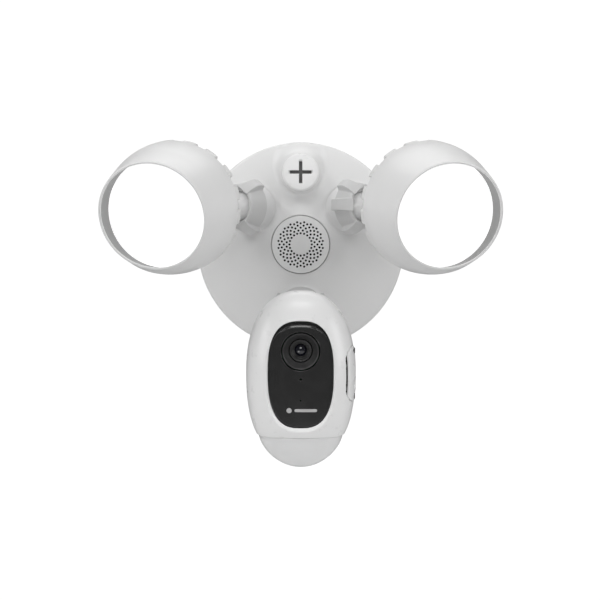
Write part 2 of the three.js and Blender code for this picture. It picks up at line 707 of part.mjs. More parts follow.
// The egg-shaped casing, or the hollow inside it when inset is its wall.
function headEgg(inset) {
  const sphere = new THREE.SphereGeometry(1, FINE - 4, 12).rotateX(Math.PI / 2);
  return remap(sphere, (point) => {
    const ringRadius = Math.min(Math.hypot(point.x, point.y), 1);
    const angle = Math.atan2(point.y, point.x);
    const reach = outlineRadius(
      angle, HEAD_HALF_WIDTH - inset, HEAD_UP - inset, HEAD_DOWN - inset, HEAD_OUTLINE_POWER);
    const share = ringRadius ** (2 / HEAD_DEPTH_POWER);
    const height = Math.sqrt(1 - ringRadius ** 2) ** (2 / HEAD_DEPTH_POWER);
    const z = point.z > 0 ? height * (HEAD_FRONT - inset) : -height * (HEAD_REAR - inset);
    return new THREE.Vector3(reach * share * Math.cos(angle), reach * share * Math.sin(angle), z);
  });
}

function windowShape(inset, topInset = inset) {
  const shape = new THREE.Shape();
  const count = FINE - 2;
  const corners = [];
  for (let i = 0; i <= count; i += 1) {
    const angle = (i / count) * 2 * Math.PI;
    const reach = outlineRadius(
      angle, WINDOW.halfWidth - inset, WINDOW.up - topInset, WINDOW.down - inset, WINDOW.powers);
    corners.push(new THREE.Vector2(reach * Math.cos(angle), WINDOW.y + reach * Math.sin(angle)));
  }
  shape.setFromPoints(corners);
  return shape;
}

// The card cover lies on the head's right side, in a frame whose z points out of that side.
const coverFrame = new THREE.Matrix4().makeBasis(
  new THREE.Vector3(0, 0, -1), new THREE.Vector3(0, 1, 0), new THREE.Vector3(1, 0, 0),
).setPosition(0, 0, CARD_COVER.z);
const BUTTON = { y: -10.2, radius: 2 };
const COVER_SCREW_Y = 16.8;

// The part of a layer of the casing that lies inside a stadium outline on the right side.
function sideLayer(top, bottom, outline) {
  const layer = cut(solid(headEgg(top)), solid(headEgg(bottom)));
  return layer.intersect(solid(prism(outline, 25, 60, 7), coverFrame));
}

const CAMERA_STEM = {
  flange: 11, spigotStart: 20, spigotEnd: 30, groove: 26.5, screwOuter: 10.5, boss: 12,
};

function headShell(isFront) {
  const big = 200;
  let shell = cut(solid(headEgg(0)), solid(headEgg(HEAD_WALL)));
  shell = shell.subtract(solid(box(big, big, big, 0, SENSOR_CUT - big / 2, 0)));
  if (isFront) {
    shell = shell.subtract(solid(box(big, big, big, 0, 0, HEAD_PARTING - big / 2)));
    shell = shell.subtract(solid(prism(windowShape(0), 10, 40)));
  } else {
    const parting = HEAD_PARTING - 1.2;
    const toHead = headFrame().invert().multiply(neckFrame(0));
    shell = shell.subtract(solid(box(big, big, big, 0, 0, parting + big / 2)));
    const { boss, spigotStart, spigotEnd, groove } = CAMERA_STEM;
    shell = shell.add(solid(rod(boss, spigotStart + GAP, spigotEnd + 2, COARSE + 6), toHead));
    shell = shell.subtract(solid(rod(SPIGOT_RADIUS + GAP, 10, 60), toHead));
    const screwHole = rod(2 + GAP, -30, -4, COARSE).rotateX(-Math.PI / 2).translate(0, 0, groove);
    shell = shell.subtract(solid(screwHole, toHead));
  }
  const outline = stadium(CARD_COVER.halfWidth + GAP, CARD_COVER.halfHeight + GAP);
  const recess = sideLayer(-5, CARD_LAYERS.floor, outline);
  const slot = solid(box(10, 26, 30, 0, 0, 40), coverFrame);
  const screwHoles = [-1, 1].map((end) => {
    return solid(rod(1.2, 30, 50, 10).translate(0, end * COVER_SCREW_Y, 0), coverFrame);
  });
  return cut(shell, recess, slot, ...screwHoles);
}

// The dome below the seam. Its collar reaches up inside the casing.
function motionSensorLens() {
  const { halfWidth, halfDepth, height, wall, power } = SENSOR_DOME;
  const middle = 0.4;
  const top = SENSOR_CUT - GAP;
  const dome = (inset) => {
    const ball = new THREE.SphereGeometry(1, MEDIUM + 4, 8);
    return solid(remap(ball, (point) => {
      const level = Math.sqrt(1 - Math.min(Math.hypot(point.x, point.z), 1) ** 2);
      const y = point.y > 0 ? 2 * inset * level : -(height - inset) * level ** (2 * power);
      const z = middle + point.z * (halfDepth - inset);
      return new THREE.Vector3(point.x * (halfWidth - inset), top + y, z);
    }));
  };
  const oval = (inset, low, high) => {
    const tube = rod(1, low, high, MEDIUM + 4).rotateX(-Math.PI / 2);
    return solid(remap(tube, (point) => new THREE.Vector3(
      point.x * (halfWidth - inset), top + point.y, middle + point.z * (halfDepth - inset))));
  };
  const shell = cut(dome(0), dome(wall));
  const flange = oval(0.9, -1.4, -0.02);
  const collar = oval(4.4, -1.4, 3);
  return cut(joined(shell, flange, collar), oval(5.8, -2, 4));
}

function cameraWindow() {
  const back = WINDOW.front - WINDOW.thickness;
  const pane = windowShape(GAP + 0.1, WINDOW_TOP_GAP);
  const flange = windowShape(-WINDOW_FLANGE.reach);
  for (const shape of [pane, flange]) {
    shape.holes.push(polygonHole(0, LENS.y, LENS.bezelRadius + GAP, FINE));
    shape.holes.push(polygonHole(0, MICROPHONE_Y, 0.9, 8));
    shape.holes.push(polygonHole(0, INDICATOR_Y, 0.6, 8));
  }
  const thick = solid(prism(pane, back, WINDOW.front));
  const thin = solid(prism(flange, back - WINDOW_FLANGE.thickness, back));
  return joined(thick, thin);
}

function lensBezel() {
  const { bezelRadius, funnelRadius } = LENS;
  return lathe([
    [funnelRadius, 12.8], [12, 12.8], [12, 16], [bezelRadius, 16.4], [bezelRadius, 19],
    [bezelRadius - 0.5, 19.4], [funnelRadius, 14.8], [funnelRadius, 12.8],
  ]);
}

function lensBarrel() {
  return lathe([[6.4, 1.5], [8.5, 1.5], [8.5, 13.6], [7.6, 14.4], [6.4, 14], [6.4, 1.5]], MEDIUM - 2);
}

function lensGlassElement() {
  return lathe([[0, 9], [6.1, 9], [6.1, 11.2], [4.6, 12.4], [2.4, 13.1], [0, 13.3]], MEDIUM - 2);
}

function imageSensorBoard() {
  const board = solid(box(26, 26, 1.5, 0, LENS.y, -0.6));
  const chip = solid(box(9, 9, 1.4, 0, LENS.y, 0.7));
  return joined(board, chip);
}

function mainBoard() {
  const board = solid(box(50, 50, 1.6, 0, -4, -9));
  const shield = solid(box(24, 24, 3, -6, -14, -7));
  const cardSlot = solid(box(13, 17, 13, 23.5, 0, -2.1));
  const cardMouth = solid(box(17, 12, 1.5, 26.5, 0, 2.5));
  return cut(joined(board, shield, cardSlot), cardMouth);
}

function motionSensor() {
  const board = solid(box(22, 1.4, 14, 0, SENSOR_CUT + 1.4, 0.4));
  const can = solid(rod(4.6, -6, 1, COARSE).rotateX(-Math.PI / 2), new THREE.Matrix4().makeTranslation(
    0, SENSOR_CUT + 0.9, 0.4));
  return joined(board, can);
}

function sideHole(radius, low, y) {
  return solid(rod(radius, low, 60, 12).translate(0, y, 0), coverFrame);
}

function cardCover() {
  const outline = stadium(CARD_COVER.halfWidth, CARD_COVER.halfHeight);
  const plate = sideLayer(CARD_LAYERS.coverTop, CARD_LAYERS.coverBottom, outline);
  const screws = [-1, 1].map((end) => sideHole(1.3, 30, end * COVER_SCREW_Y));
  const sinks = [-1, 1].map((end) => sideHole(2.5, 38.8, end * COVER_SCREW_Y));
  return cut(plate, ...screws, ...sinks, sideHole(BUTTON.radius + GAP, 30, BUTTON.y));
}

function cardCoverGasket() {
  const outline = stadium(CARD_COVER.halfWidth - 0.1, CARD_COVER.halfHeight - 0.1);
  const plate = sideLayer(CARD_LAYERS.gasketTop, CARD_LAYERS.gasketBottom, outline);
  const opening = solid(prism(stadium(CARD_COVER.halfWidth - 2.4, 13.2), 20, 60, 5), coverFrame);
  const screws = [-1, 1].map((end) => sideHole(1.3, 30, end * COVER_SCREW_Y));
  return cut(plate, opening, ...screws);
}

function addCameraHead() {
  const head = group(headFrame());
  const neck = group(neckFrame(0));
  const { flange, spigotStart, spigotEnd, groove, screwOuter } = CAMERA_STEM;
  piece('camera_ball_stem', ballStem(flange, spigotStart, spigotEnd, groove), whitePlastic, neck);
  addStemScrew(0, 'camera', groove, screwOuter);
  piece('camera_front_shell', headShell(true), whitePlastic, head);
  piece('camera_rear_shell', headShell(false), whitePlastic, head);
  const sealZ = [HEAD_PARTING - 0.9, HEAD_PARTING - 0.3];
  const sealBody = cut(solid(headEgg(1)), solid(headEgg(HEAD_WALL + 1.2)));
  const slab = solid(box(200, 95 - SENSOR_CUT, 0.6, 0, (105 + SENSOR_CUT) / 2, HEAD_PARTING - 0.6));
  const coverRoom = sideLayer(-5, CARD_LAYERS.floor + 0.2, stadium(CARD_COVER.halfWidth + 1, 22));
  piece('camera_shell_seal', sealBody.intersect(slab).subtract(coverRoom), greyRubber, head);
  piece('camera_window', cameraWindow(), glossBlack, head);

  const lens = group(headFrame().multiply(new THREE.Matrix4().makeTranslation(0, LENS.y, 0)));
  piece('lens_bezel', lensBezel(), glossBlack, lens);
  piece('lens_barrel', lensBarrel(), matteBlack, lens);
  piece('lens_glass', lensGlassElement(), lensGlass, lens);
  piece('image_sensor_board', imageSensorBoard(), boardGreen, head);
  piece('camera_main_board', mainBoard(), boardGreen, head);
  piece('memory_card', box(13, 11, 0.9, 25, 0, 2.5), matteBlack, head);
  piece('motion_sensor_lens', motionSensorLens(), glossWhite, head);
  piece('motion_sensor', motionSensor(), boardGreen, head);

  const side = group(headFrame().multiply(coverFrame));
  piece('card_cover', cardCover(), whitePlastic, head);
  piece('card_cover_gasket', cardCoverGasket(), darkRubber, head);
  for (const [end, word] of [[1, 'upper'], [-1, 'lower']]) {
    const line = new THREE.Matrix4().makeRotationX(Math.PI).setPosition(0, end * COVER_SCREW_Y, 39.6);
    const holder = group(headFrame().multiply(coverFrame).multiply(line));
    piece(`card_cover_screw_${word}`, panScrew(2.1, 0.65, 0.9, 5), steel, holder);
  }
  const button = lathe([
    [0, 36.9], [2.8, 36.9], [2.8, 37.5], [2, 37.5], [2, 40], [1.5, 40.5], [0, 40.5],
  ], COARSE);
  piece('reset_button', button.translate(0, BUTTON.y, 0), whitePlastic, side);
}

addBase();
addBallJoint(-1, 'left_lamp', [53, 173, 293]);
addBallJoint(1, 'right_lamp', [7, 127, 178, 247]);
addBallJoint(0, 'camera', [30, 150, 270]);
addLamp(-1, 'left_lamp');
addLamp(1, 'right_lamp');
addCameraHead();

export default object;
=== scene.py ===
import json
import math

import bmesh
import bpy
import numpy as np
from mathutils import Matrix, Vector


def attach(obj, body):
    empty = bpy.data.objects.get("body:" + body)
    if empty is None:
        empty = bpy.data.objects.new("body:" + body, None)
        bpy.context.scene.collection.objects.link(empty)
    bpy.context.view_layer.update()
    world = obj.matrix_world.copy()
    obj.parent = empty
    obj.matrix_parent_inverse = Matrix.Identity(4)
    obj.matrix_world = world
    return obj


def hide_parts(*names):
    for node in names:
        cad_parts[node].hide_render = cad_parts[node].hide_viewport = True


# A floodlight security camera: a domed wall base that carries two aimable lamps and one aimable camera
# head on ball joints with lugged lock nuts. Shapes are made in millimetres, each in its own local frame,
# and placed in the frame's metres: +Z up, the object faces -Y and the wall is the plane y = 0.

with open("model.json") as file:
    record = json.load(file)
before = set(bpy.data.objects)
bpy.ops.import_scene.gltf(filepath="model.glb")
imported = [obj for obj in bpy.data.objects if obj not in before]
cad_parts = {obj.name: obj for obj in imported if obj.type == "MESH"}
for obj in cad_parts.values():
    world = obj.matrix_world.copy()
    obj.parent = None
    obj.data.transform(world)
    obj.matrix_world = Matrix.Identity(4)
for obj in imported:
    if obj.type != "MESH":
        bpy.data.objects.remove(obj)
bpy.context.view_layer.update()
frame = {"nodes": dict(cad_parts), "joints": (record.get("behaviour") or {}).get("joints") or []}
joints = {joint["name"]: joint for joint in frame["joints"]}
MM = 0.001

# ---- Driving dimensions, in millimetres ----
GAP = 0.3
SIDES = {"left_lamp": -1, "right_lamp": 1, "camera": 0}
LAMPS = {"left_lamp": -1, "right_lamp": 1}

BASE_RADIUS = 80
DOME_RADIUS = 78.4
DOME_EDGE = 13
DOME_RISE = 15
COVER_BACK = 3.8
SCREW_Z = 55
PILLAR_DEPTH = 31
PILLAR_RADIUS = 15
PEDESTAL_RADIUS = 17.6
FOOT_SHIFT = 4
SCREW_HEAD_RADIUS = 14.3
SCREW_TOP = 35.3
GRILLE_RADIUS = 22
GRILLE_DEPTH = 27.9
GRILLE_RINGS = [8.6, 10.8, 12.9, 14.6, 16.2, 17.2]
GRILLE_HOLE = 0.82
CABLE_X = -38

SHOULDER = -5.6
COLLAR_RADIUS = 15.2
SEAT_BACK = -13.2
BALL_RADIUS = 11.5
CUP_RADIUS = 12.1
NECK_HOLE = 7.3
NUT_BACK = SHOULDER + GAP
NUT_MOUTH = 9.5
NUT_BORE = 16
LUG_RADIUS = 22.1
LUG_TURNS = {"left_lamp": [53, 173, 293], "right_lamp": [7, 127, 178, 247], "camera": [30, 150, 270]}

RIM_CENTRE = (104, 137, 16)
LAMP_YAW = 15.5
LAMP_PITCH = 11
RIM_DOWN = math.tan(math.radians(8.2))
RIM_INWARD = math.tan(math.radians(3))
RIM_RADIUS = 39.1
HOOD_RADIUS = 48.3
HOOD_LENGTH = 46.8
DIFFUSER_BACK = 18.2
RIB_COUNT = 17
RIB_HEIGHT = 4.3
HEAT_SINK_FRONT = -48.3
HEAT_SINK_BACK = -65.3

HEAD_DEPTH, HEAD_Z, HEAD_PITCH = 83, -95.4, 7
HEAD_HALF_WIDTH = 39.9
HEAD_UP = 60.4
HEAD_DOWN = 64.6
HEAD_FRONT = 25
HEAD_REAR = 24
HEAD_WALL = 2.4
OUTLINE_POWER_UP = 2.25
OUTLINE_POWER_DOWN = 2.5
DEPTH_POWER = 2.3
PARTING = -2
SENSOR_CUT = -45.6
WINDOW_Y = 2.6
WINDOW_HALF_WIDTH = 23.8
WINDOW_UP = 37.7
WINDOW_DOWN = 40.3
WINDOW_POWER = 2.65
WINDOW_FRONT = 19
WINDOW_TOP_GAP = 2.4
LENS_Y = 18.1
LENS_HOLE = 14.1
MICROPHONE_Y = -2.2
INDICATOR_Y = -17.6
MARK_Y = -25
CARD_Z = 4.5
CARD_HALF_WIDTH = 9.5
CARD_HALF_HEIGHT = 20.2
CARD_FRONT_REACH = 1.2
CARD_SCREW_Y = 16.8
BUTTON_Y = -10.2


# ---- Local frames ----
def direction(yaw, pitch=0):
    yaw, pitch = math.radians(yaw), math.radians(pitch)
    level = math.cos(pitch)
    return Vector((level * math.sin(yaw), -level * math.cos(yaw), -math.sin(pitch)))


def axes_at(origin, axis):
    """Local millimetres to metres: z runs along axis, x is level and to the right of a viewer in front."""
    across = Vector((0, 0, 1)).cross(axis).normalized()
    up = axis.cross(across)
    turn = Matrix((across, up, axis)).transposed().to_4x4()
    return Matrix.Translation(origin) @ turn @ Matrix.Scale(MM, 4)


def at(x, depth, z):
    return Vector((x, -depth, z)) * MM


def joint_frame(name):
    joint = joints[name]
    return axes_at(Vector(joint["pos_m"]), Vector(joint["axis"]).normalized())


base_frame = axes_at(Vector((0, 0, 0)), direction(0))
screw_frame = base_frame @ Matrix.Translation((0, SCREW_Z, 0))
sockets = {name: joint_frame(f"{name}_nut_turn") for name in SIDES}
necks = {name: joint_frame(f"{name}_roll") for name in SIDES}
lamps = {
    name: axes_at(at(side * RIM_CENTRE[0], RIM_CENTRE[1], RIM_CENTRE[2]),
                  direction(side * LAMP_YAW, LAMP_PITCH))
    for name, side in LAMPS.items()
}
head_frame = axes_at(at(0, HEAD_DEPTH, HEAD_Z), direction(0, HEAD_PITCH))
lens_frame = head_frame @ Matrix.Translation((0, LENS_Y, 0))
card_frame = head_frame @ Matrix(((0, 0, 1, 0), (0, 1, 0, 0), (-1, 0, 0, CARD_Z), (0, 0, 0, 1)))


# ---- Camera ----
CAMERA_DISTANCE = 1.25
VIEW_WIDTH = 0.4706
VIEW_CENTRE_X = -0.0005
VIEW_CENTRE_Z = -0.0426

camera_data = bpy.data.cameras.new("camera")
camera_data.sensor_width = 36
camera_data.lens = camera_data.sensor_width * CAMERA_DISTANCE / VIEW_WIDTH
camera = bpy.data.objects.new("camera", camera_data)
camera.location = (VIEW_CENTRE_X, -CAMERA_DISTANCE, VIEW_CENTRE_Z)
camera.rotation_euler = (math.pi / 2, 0, 0)
bpy.context.scene.collection.objects.link(camera)
bpy.context.scene.camera = camera


# ---- Turned shapes ----
def rounded(corners):
    """A closed outline of (radius, height) corners. A third number rounds that corner by so much."""
    path = []
    for i, corner in enumerate(corners):
        point = Vector(corner[:2])
        if len(corner) < 3:
            path.append(point)
            continue
        before = Vector(corners[i - 1][:2]) - point
        after = Vector(corners[(i + 1) % len(corners)][:2]) - point
        half = before.angle(after) / 2
        reach = min(corner[2] / math.tan(half), 0.49 * before.length, 0.49 * after.length)
        start = point + before.normalized() * reach
        end = point + after.normalized() * reach
        for t in (0, 0.25, 0.5, 0.75, 1):
            path.append(start * (1 - t) ** 2 + point * 2 * t * (1 - t) + end * t ** 2)
    return path


def lathe(corners, segments=96):
    """Points and faces of a closed outline turned about the local z."""
    turns = 2 * np.pi * np.arange(segments) / segments
    points, rows, faces = [], [], []
    for radius, height in rounded(corners):
        count = 1 if radius < 1e-6 else segments
        rows.append([len(points) + k for k in range(count)])
        points += [(radius * math.cos(t), radius * math.sin(t), height) for t in turns[:count]]
    for this, following in zip(rows, rows[1:] + rows[:1]):
        if len(this) == 1 and len(following) == 1:
            continue
        for k in range(segments):
            around = [this[k % len(this)], this[(k + 1) % len(this)],
                      following[(k + 1) % len(following)], following[k % len(following)]]
            faces.append(list(dict.fromkeys(around)))
    return np.array(points), faces


def curve_points(low, high, count, shape):
    return [shape(low + (high - low) * k / count) for k in range(count + 1)]


def joined(*shapes):
    points, faces = [], []
    for some_points, some_faces in shapes:
        start = sum(len(p) for p in points)
        points.append(np.asarray(some_points, float))
        faces += [[start + int(v) for v in face] for face in some_faces]
    return np.concatenate(points), faces


def moved(shape, matrix):
    points, faces = shape
    m = np.array(matrix)
    return points @ m[:3, :3].T + m[:3, 3], faces


# ---- Flat plates with holes ----
def plate(outlines, low, high, bevel):
    """Flat outlines, the first with the others as holes in it, thickened along z with bevelled edges."""
    curve = bpy.data.curves.new("plate", "CURVE")
    curve.dimensions = "2D"
    curve.fill_mode = "BOTH"
    curve.extrude = (high - low) / 2 - bevel
    curve.bevel_depth = bevel
    curve.bevel_resolution = 2
    curve.offset = -bevel
    for outline in outlines:
        spline = curve.splines.new("POLY")
        spline.points.add(len(outline) - 1)
        for point, (x, y) in zip(spline.points, outline):
            point.co = (x, y, 0, 1)
        spline.use_cyclic_u = True
    holder = bpy.data.objects.new("plate", curve)
    mesh = bpy.data.meshes.new_from_object(holder)
    points = np.array([v.co for v in mesh.vertices]) + [0, 0, (low + high) / 2]
    faces = [list(p.vertices) for p in mesh.polygons]
    bpy.data.objects.remove(holder)
    bpy.data.curves.remove(curve)
    bpy.data.meshes.remove(mesh)
    return points, faces


def circle(x, y, radius, count=24, turn=0):
    return [(x + radius * math.cos(turn + 2 * math.pi * k / count),
             y + radius * math.sin(turn + 2 * math.pi * k / count)) for k in range(count)]


def stadium(half_width, half_height, count=24, x=0, y=0):
    """A rectangle with round ends, upright if half_height is the larger."""
    tall = half_height >= half_width
    radius = min(half_width, half_height)
    straight = abs(half_height - half_width)
    points = []
    for px, py in circle(0, 0, radius, count, math.pi / count):
        along = math.copysign(straight, py if tall else px)
        points.append((x + px + (0 if tall else along), y + py + (along if tall else 0)))
    return points


# ---- Sculpted shapes: the surface where a distance function is 0 ----
def smooth_min(a, b, k):
    h = np.maximum(k - np.abs(a - b), 0) / k
    return np.minimum(a, b) - h * h * k / 4


def smooth_max(a, b, k):
    return -smooth_min(-a, -b, k)


def radial(p):
    return np.hypot(p[:, 0], p[:, 1])


def to_local(p, source, target):
    """Points of one local frame in another."""
    m = np.array(target.inverted() @ source)
    return p @ m[:3, :3].T + m[:3, 3]


def sample_grid(distance, low, cell, blocks, block):
    """Values of distance at the grid's nodes. Blocks far from the surface keep their middle's value."""
    centre_axes = [low[i] + cell * block * (np.arange(blocks[i]) + 0.5) for i in range(3)]
    centres = np.stack(np.meshgrid(*centre_axes, indexing="ij"), -1).reshape(-1, 3)
    coarse = distance(centres).reshape(blocks)
    values = coarse.astype(np.float32)
    for axis in range(3):
        values = np.repeat(values, block, axis)
    values = np.pad(values, [(0, 1)] * 3, "edge")
    near = np.zeros(values.shape, bool)
    for corner in np.argwhere(np.abs(coarse) < cell * block * 1.5) * block:
        near[tuple(slice(start, start + block + 1) for start in corner)] = True
    nodes = np.argwhere(near)
    found = np.empty(len(nodes), np.float32)
    for start in range(0, len(nodes), 300000):
        some = slice(start, start + 300000)
        found[some] = distance(low + cell * nodes[some])
    values[near] = found
    return values


def pull_on(points, distance, cell):
    """Moves points onto the surface along its slope."""
    small = 0.02
    for _ in range(3):
        value = distance(points)
        slope = np.stack([distance(points + e) - distance(points - e) for e in small * np.eye(3)], 1)
        slope /= 2 * small
        step = slope * (value / np.maximum((slope ** 2).sum(1), 0.1))[:, None]
        length = np.maximum(np.linalg.norm(step, axis=1), 1e-9)
        points = points - step * np.minimum(1, 0.5 * cell / length)[:, None]
    return points


def sculpt(distance, low, high, cell):
    """Points and faces of a closed surface in the box, by surface nets."""
    low = np.array(low, float)
    block = 6
    blocks = np.ceil((np.array(high) - low) / (cell * block)).astype(int)
    values = sample_grid(distance, low, cell, blocks, block)
    inside = values < 0
    corners = np.array([(i, j, k) for i in (0, 1) for j in (0, 1) for k in (0, 1)])
    size = np.array(values.shape) - 1
    count = sum(inside[i:i + size[0], j:j + size[1], k:k + size[2]].astype(np.int8) for i, j, k in corners)
    active = (count > 0) & (count < 8)
    cells = np.argwhere(active)
    at_corner = [values[tuple((cells + corner).T)] for corner in corners]
    total, crossings = np.zeros(cells.shape), np.zeros(len(cells))
    for a in range(8):
        for b in range(a + 1, 8):
            if np.abs(corners[a] - corners[b]).sum() != 1:
                continue
            crossed = (at_corner[a] < 0) != (at_corner[b] < 0)
            share = at_corner[a] / np.where(crossed, at_corner[a] - at_corner[b], 1)
            total += crossed[:, None] * (corners[a] + share[:, None] * (corners[b] - corners[a]))
            crossings += crossed
    points = low + cell * (cells + total / crossings[:, None])
    number = np.full(size, -1)
    number[active] = np.arange(len(cells))
    faces = []
    steps = np.eye(3, dtype=int)
    for axis in range(3):
        b, c = (axis + 1) % 3, (axis + 2) % 3
        lower, upper = [slice(1, -1)] * 3, [slice(1, -1)] * 3
        lower[axis], upper[axis] = slice(0, -1), slice(1, None)
        nodes = np.argwhere(inside[tuple(lower)] != inside[tuple(upper)])
        nodes[:, b] += 1
        nodes[:, c] += 1
        around = [nodes - steps[b] - steps[c], nodes - steps[c], nodes, nodes - steps[b]]
        quads = np.stack([number[tuple(corner.T)] for corner in around], 1)
        outward = inside[tuple(nodes.T)]
        quads[~outward] = quads[~outward][:, ::-1]
        faces.append(quads)
    return pull_on(points, distance, cell), np.concatenate(faces).tolist()


# ---- Making a piece ----
def piece(name, shape, place, body, materials, replaces=(), zone=None, sharp=38, sculpted=False):
    """A named mesh that rides on a body. zone picks a material by a face's middle, in local millimetres."""
    points, faces = shape
    mesh = bpy.data.meshes.new(name)
    mesh.from_pydata(np.asarray(points).tolist(), [], faces)
    materials = materials if isinstance(materials, list) else [materials]
    for material in materials:
        mesh.materials.append(material)
    if not sculpted:
        editable = bmesh.new()
        editable.from_mesh(mesh)
        bmesh.ops.remove_doubles(editable, verts=editable.verts, dist=1e-4)
        bmesh.ops.recalc_face_normals(editable, faces=editable.faces)
        editable.to_mesh(mesh)
        editable.free()
    if zone:
        middles = np.array([polygon.center for polygon in mesh.polygons])
        mesh.polygons.foreach_set("material_index", zone(middles).astype(np.int32))
    mesh.shade_smooth()
    if not sculpted:
        mesh.set_sharp_from_angle(angle=math.radians(sharp))
    level = [abs(polygon.normal.z) < 0.9999 for polygon in mesh.polygons]
    mesh.polygons.foreach_set("use_smooth", level)
    mesh.transform(place)
    mesh.update()
    thing = bpy.data.objects.new(name, mesh)
    bpy.context.scene.collection.objects.link(thing)
    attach(thing, body)
    if replaces:
        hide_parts(*replaces)
    return thing


# ---- Materials ----
class Finish:
    """A node material whose colour, roughness and relief come from procedural textures."""

    def __init__(self, name, roughness, **sockets):
        self.material = bpy.data.materials.new(name)
        self.material.use_nodes = True
        self.tree = self.material.node_tree
        self.shader = self.tree.nodes["Principled BSDF"]
        self.shader.inputs["Roughness"].default_value = roughness
        for socket, value in sockets.items():
            self.shader.inputs[socket.replace("_", " ")].default_value = value
        self.place = self.tree.nodes.new("ShaderNodeTexCoord").outputs["Object"]

    def node(self, kind, **values):
        made = self.tree.nodes.new(kind)
        for key, value in values.items():
            if hasattr(made, key):
                setattr(made, key, value)
            else:
                made.inputs[key.replace("_", " ")].default_value = value
        return made

    def link(self, source, target):
        self.tree.links.new(source, target)

    def noise(self, scale, detail=3.0, distortion=0.0):
        made = self.node("ShaderNodeTexNoise", Scale=scale, Detail=detail, Distortion=distortion)
        self.link(self.place, made.inputs["Vector"])
        return made.outputs["Fac"]

    def cells(self, scale, feature="F1", randomness=1.0):
        made = self.node("ShaderNodeTexVoronoi", feature=feature, Scale=scale, Randomness=randomness)
        self.link(self.place, made.inputs["Vector"])
        return made.outputs["Distance"]

    def ramp(self, source, low, high, start=0.3, end=0.7):
        made = self.node("ShaderNodeMapRange", From_Min=start, From_Max=end, To_Min=low, To_Max=high)
        self.link(source, made.inputs["Value"])
        return made.outputs["Result"]

    def colours(self, source, first, second, start=0.3, end=0.7):
        """Blends two colours by a texture into the base colour."""
        mix = self.node("ShaderNodeMix", data_type="RGBA")
        self.link(self.ramp(source, 0, 1, start, end), mix.inputs[0])
        mix.inputs[6].default_value = (*first, 1)
        mix.inputs[7].default_value = (*second, 1)
        self.link(mix.outputs[2], self.shader.inputs["Base Color"])
        return mix.outputs[2]

    def roughness(self, source, low, high):
        self.link(self.ramp(source, low, high), self.shader.inputs["Roughness"])

    def relief(self, *layers):
        """Bump layers of (texture, height in metres), one on top of the other."""
        normal = None
        for source, height in layers:
            bump = self.node("ShaderNodeBump", Strength=1.0, Distance=height)
            self.link(source, bump.inputs["Height"])
            if normal:
                self.link(normal, bump.inputs["Normal"])
            normal = bump.outputs["Normal"]
        self.link(normal, self.shader.inputs["Normal"])


def grey(value, warm=0.0):
    return (value, value, value * (1 - warm))


def moulded(name, level, roughness, texture, depth, spread=0.012, warm=0.003, **sockets):
    """Injection-moulded plastic: spark-eroded grain, faint flow clouds and uneven gloss."""
    finish = Finish(name, roughness, **sockets)
    clouds = finish.noise(22, 4, 0.6)
    grain = finish.noise(texture, 2)
    finish.colours(clouds, grey(level * (1 - spread), warm), grey(level * (1 + spread), warm / 2))
    finish.roughness(finish.noise(160, 5), roughness - 0.04, roughness + 0.05)
    finish.relief((clouds, depth * 6), (grain, depth))
    return finish.material


def powder_coat(name, level):
    """Powder coat on die-cast metal: orange peel over a fine pebble."""
    finish = Finish(name, 0.5)
    peel = finish.noise(650, 3, 0.4)
    finish.colours(finish.noise(30, 4), grey(level * 0.985, 0.01), grey(level * 1.01, 0.005))
    finish.roughness(peel, 0.42, 0.55)
    finish.relief((peel, 2.2e-5), (finish.noise(2600, 2), 6e-6))
    return finish.material


def glossy_black(name, roughness, level=0.012):
    """Polished black plastic with faint smudges and a few dust specks."""
    finish = Finish(name, roughness, Specular_IOR_Level=0.5, Coat_Weight=0.6, Coat_Roughness=0.06)
    smudges = finish.noise(45, 6, 1.2)
    specks = finish.cells(900)
    finish.colours(specks, grey(level * 2.2), grey(level), 0.02, 0.09)
    finish.roughness(smudges, roughness * 0.8, roughness * 1.5)
    finish.relief((finish.noise(60, 2), 6e-6),)
    return finish.material


def rubber(name, level, pores):
    finish = Finish(name, 0.8, Specular_IOR_Level=0.25)
    bubbles = finish.cells(pores)
    finish.colours(finish.noise(90, 5), grey(level * 0.85), grey(level * 1.2))
    finish.roughness(finish.noise(300, 4), 0.72, 0.9)
    finish.relief((bubbles, 1.2e-4 * 300 / pores), (finish.noise(1800, 3), 1.5e-5))
    return finish.material


def zinc_plate(name, level, scratch=1.0):
    """Zinc-plated steel: spangle, faint scratches and uneven gloss."""
    finish = Finish(name, 0.34, Metallic=1.0)
    spangle = finish.cells(170)
    stretched = finish.node("ShaderNodeMapping")
    stretched.inputs["Scale"].default_value = (40, 600, 900)
    finish.link(finish.place, stretched.inputs["Vector"])
    lines = finish.node("ShaderNodeTexNoise", Scale=6.0, Detail=4.0)
    finish.link(stretched.outputs["Vector"], lines.inputs["Vector"])
    finish.colours(spangle, grey(level * 0.86), grey(level * 1.08), 0.1, 0.8)
    finish.roughness(lines.outputs["Fac"], 0.24, 0.46)
    finish.relief((lines.outputs["Fac"], 1.2e-5 * scratch),)
    return finish.material


def board(name, mask, track):
    """Solder mask over copper tracks."""
    finish = Finish(name, 0.35, Coat_Weight=0.3, Coat_Roughness=0.2)
    tracks = finish.node("ShaderNodeTexBrick", Scale=260.0)
    finish.link(finish.place, tracks.inputs["Vector"])
    finish.colours(tracks.outputs["Fac"], mask, track, 0.0, 1.0)
    finish.roughness(finish.noise(200, 3), 0.28, 0.45)
    finish.relief((tracks.outputs["Fac"], 2e-5), (finish.noise(900, 2), 5e-6))
    return finish.material


